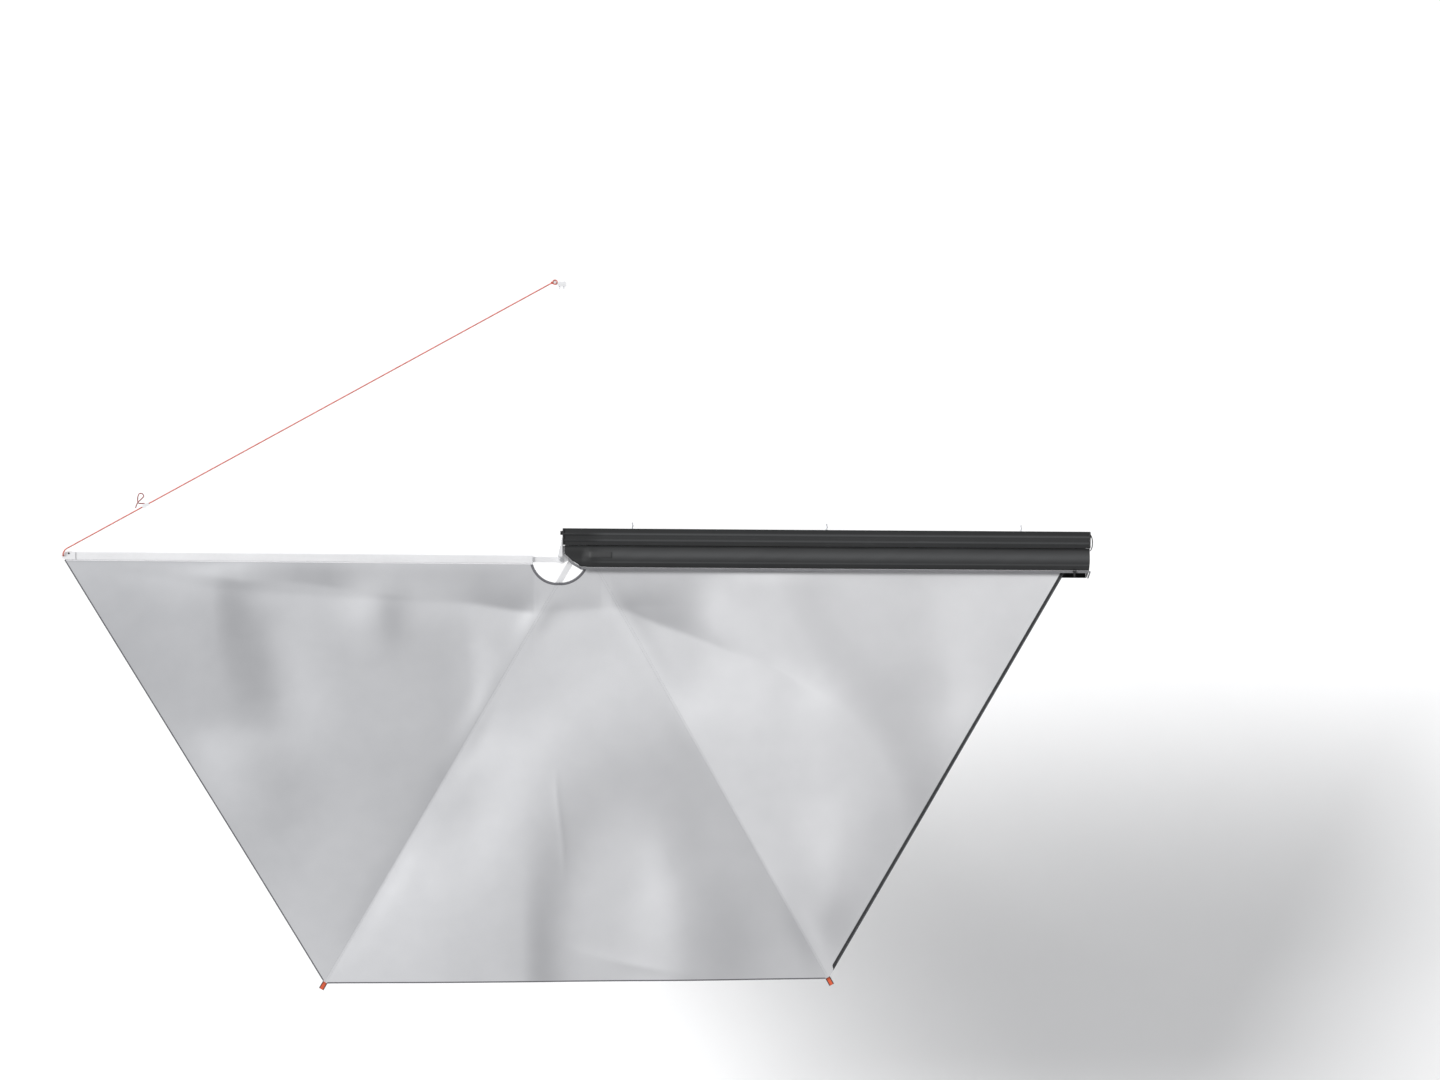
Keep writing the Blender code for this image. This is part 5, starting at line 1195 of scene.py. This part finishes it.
ropePlan = curveThrough([*rope["bend"], *straight], 420)
begins = ropePlan[0]
rise = [(*eye, -0.0002), (*eye, 0.0035), (*(0.86 * eye + 0.14 * begins), 0.0085)]
rise += [(*(0.5 * eye + 0.5 * begins), 0.0120), (*begins, rope["z"])]
level = np.column_stack([ropePlan, np.full(len(ropePlan), rope["z"])])
ropeLine = evenSteps(np.vstack([curveThrough(rise, 40)[:-1], level]), 1400)
lineAngle = math.atan2(*(arrives - leaves)[::-1])
lineX, lineY = math.cos(lineAngle), math.sin(lineAngle)


def alongLine(points):  # from the tensioner's own axes to the frame's
    ahead, aside, up = points.T
    x, y = leaves + rope["tensioner"] * np.array((lineX, lineY))
    inX, inY = x + ahead * lineX - aside * lineY, y + ahead * lineY + aside * lineX
    return np.column_stack([inX, inY, rope["z"] + up])


def knotLine(centre, wide, high, turned):  # a trefoil: a strand over and under itself three times
    t = np.linspace(0, 2 * math.pi, 120)
    x, y, z = np.sin(t) + 2 * np.sin(2 * t), np.cos(t) - 2 * np.cos(2 * t), -np.sin(3 * t)
    c2, s2 = math.cos(turned), math.sin(turned)
    wideX, wideY = wide * (x * c2 - y * s2), wide * (x * s2 + y * c2)
    return np.column_stack([centre[0] + wideX, centre[1] + wideY, centre[2] + high * z])


guy = carried("guyRope", ropeLine, ringProfile(rope["radius"], 12), looks["rope"])
knot = knotLine((*eye, -0.0068), 0.0015, 0.0026, 0.4)
ropeKnot = carried("ropeKnot", knot, ringProfile(0.0028, 12), looks["rope"])
t = np.linspace(0, 2 * math.pi, 80)
ringX, ringY = rope["post"][0] + rope["loop"] * np.cos(t), rope["post"][1] + rope["loop"] * np.sin(t)
ring = np.column_stack([ringX, ringY, np.full(80, rope["z"])])
anchorLoop = carried("anchorLoop", ring, ringProfile(rope["tail"], 12), looks["rope"])
hitchAt = np.array((*arrives, rope["z"])) + 0.002 * np.array((lineX, lineY, 0))
hitch = carried("anchorKnot", knotLine(hitchAt, 0.0015, 0.0026, 1.1), ringProfile(0.0025, 12), looks["rope"])
tailLine = alongLine(curveThrough(rope["tailRoute"], 160))
tail = carried("tensionerTail", tailLine, ringProfile(rope["tail"], 12), looks["tailRope"])
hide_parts("guy_rope")
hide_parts("rope_knot")
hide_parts("rope_anchor_loop")
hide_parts("tensioner_tail")
for piece in (guy, ropeKnot, anchorLoop, hitch):
    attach(piece, "guy_line")
    if piece is not ropeKnot:  # each piece but the knot gets a mesh of its own
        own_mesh(piece)
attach(tail, "tensioner")


# Camera, light and floor

view = bpy.data.cameras.new("aboveTheAwning")
view.lens, view.sensor_width, view.clip_end = 78.25, 36.0, 60.0
camera = bpy.data.objects.new("aboveTheAwning", view)
camera.location = (-0.5203, -0.0525, 15.35)
camera.rotation_euler = (0.0, 0.0, math.radians(0.39))
bpy.context.scene.collection.objects.link(camera)
bpy.context.scene.camera = camera

light = {"rise": 33.0, "from": 155.0, "sky": (0.95, 0.54)}  # degrees above the floor and round from +X
floorSize, floorZ = 400.0, -2.05
corners = np.array([(-1, -1, 0), (1, -1, 0), (1, 1, 0), (-1, 1, 0)]) * floorSize / 2 + (0, 0, floorZ)
material, tree, shader, place, _ = newMaterial("paleFloor", 0.9)
tone = tree.use(mottle, place, Scale=0.4)["Tone"]
tree.link(tree.mix(tone, (0.84, 0.84, 0.84), (0.86, 0.86, 0.86)), shader.inputs["Base Color"])
floor = meshPiece("floor", corners, [[0, 1, 2, 3]], material, smooth=False)
sun = bpy.data.lights.new("softSun", "SUN")
sun.energy, sun.angle = 3.8, 0.36
sunPiece = bpy.data.objects.new("softSun", sun)
sunPiece.rotation_euler = (math.radians(90 - light["rise"]), 0.0, math.radians(light["from"] + 90))
bpy.context.scene.collection.objects.link(sunPiece)
world = bpy.data.worlds.new("paleSky")
world.use_nodes = True
sky = Tree(world.node_tree)
background = world.node_tree.nodes["Background"]
upwards = sky.split(sky.node("TexCoord").outputs["Generated"])[2]
sky.link(sky.ramp(upwards, 0.0, 0.8, *light["sky"]), background.inputs["Strength"])
background.inputs["Color"].default_value = (0.98, 0.985, 1.0, 1.0)
bpy.context.scene.world = world
bpy.context.scene.view_settings.view_transform = "Standard"
print("camera, light and floor set")
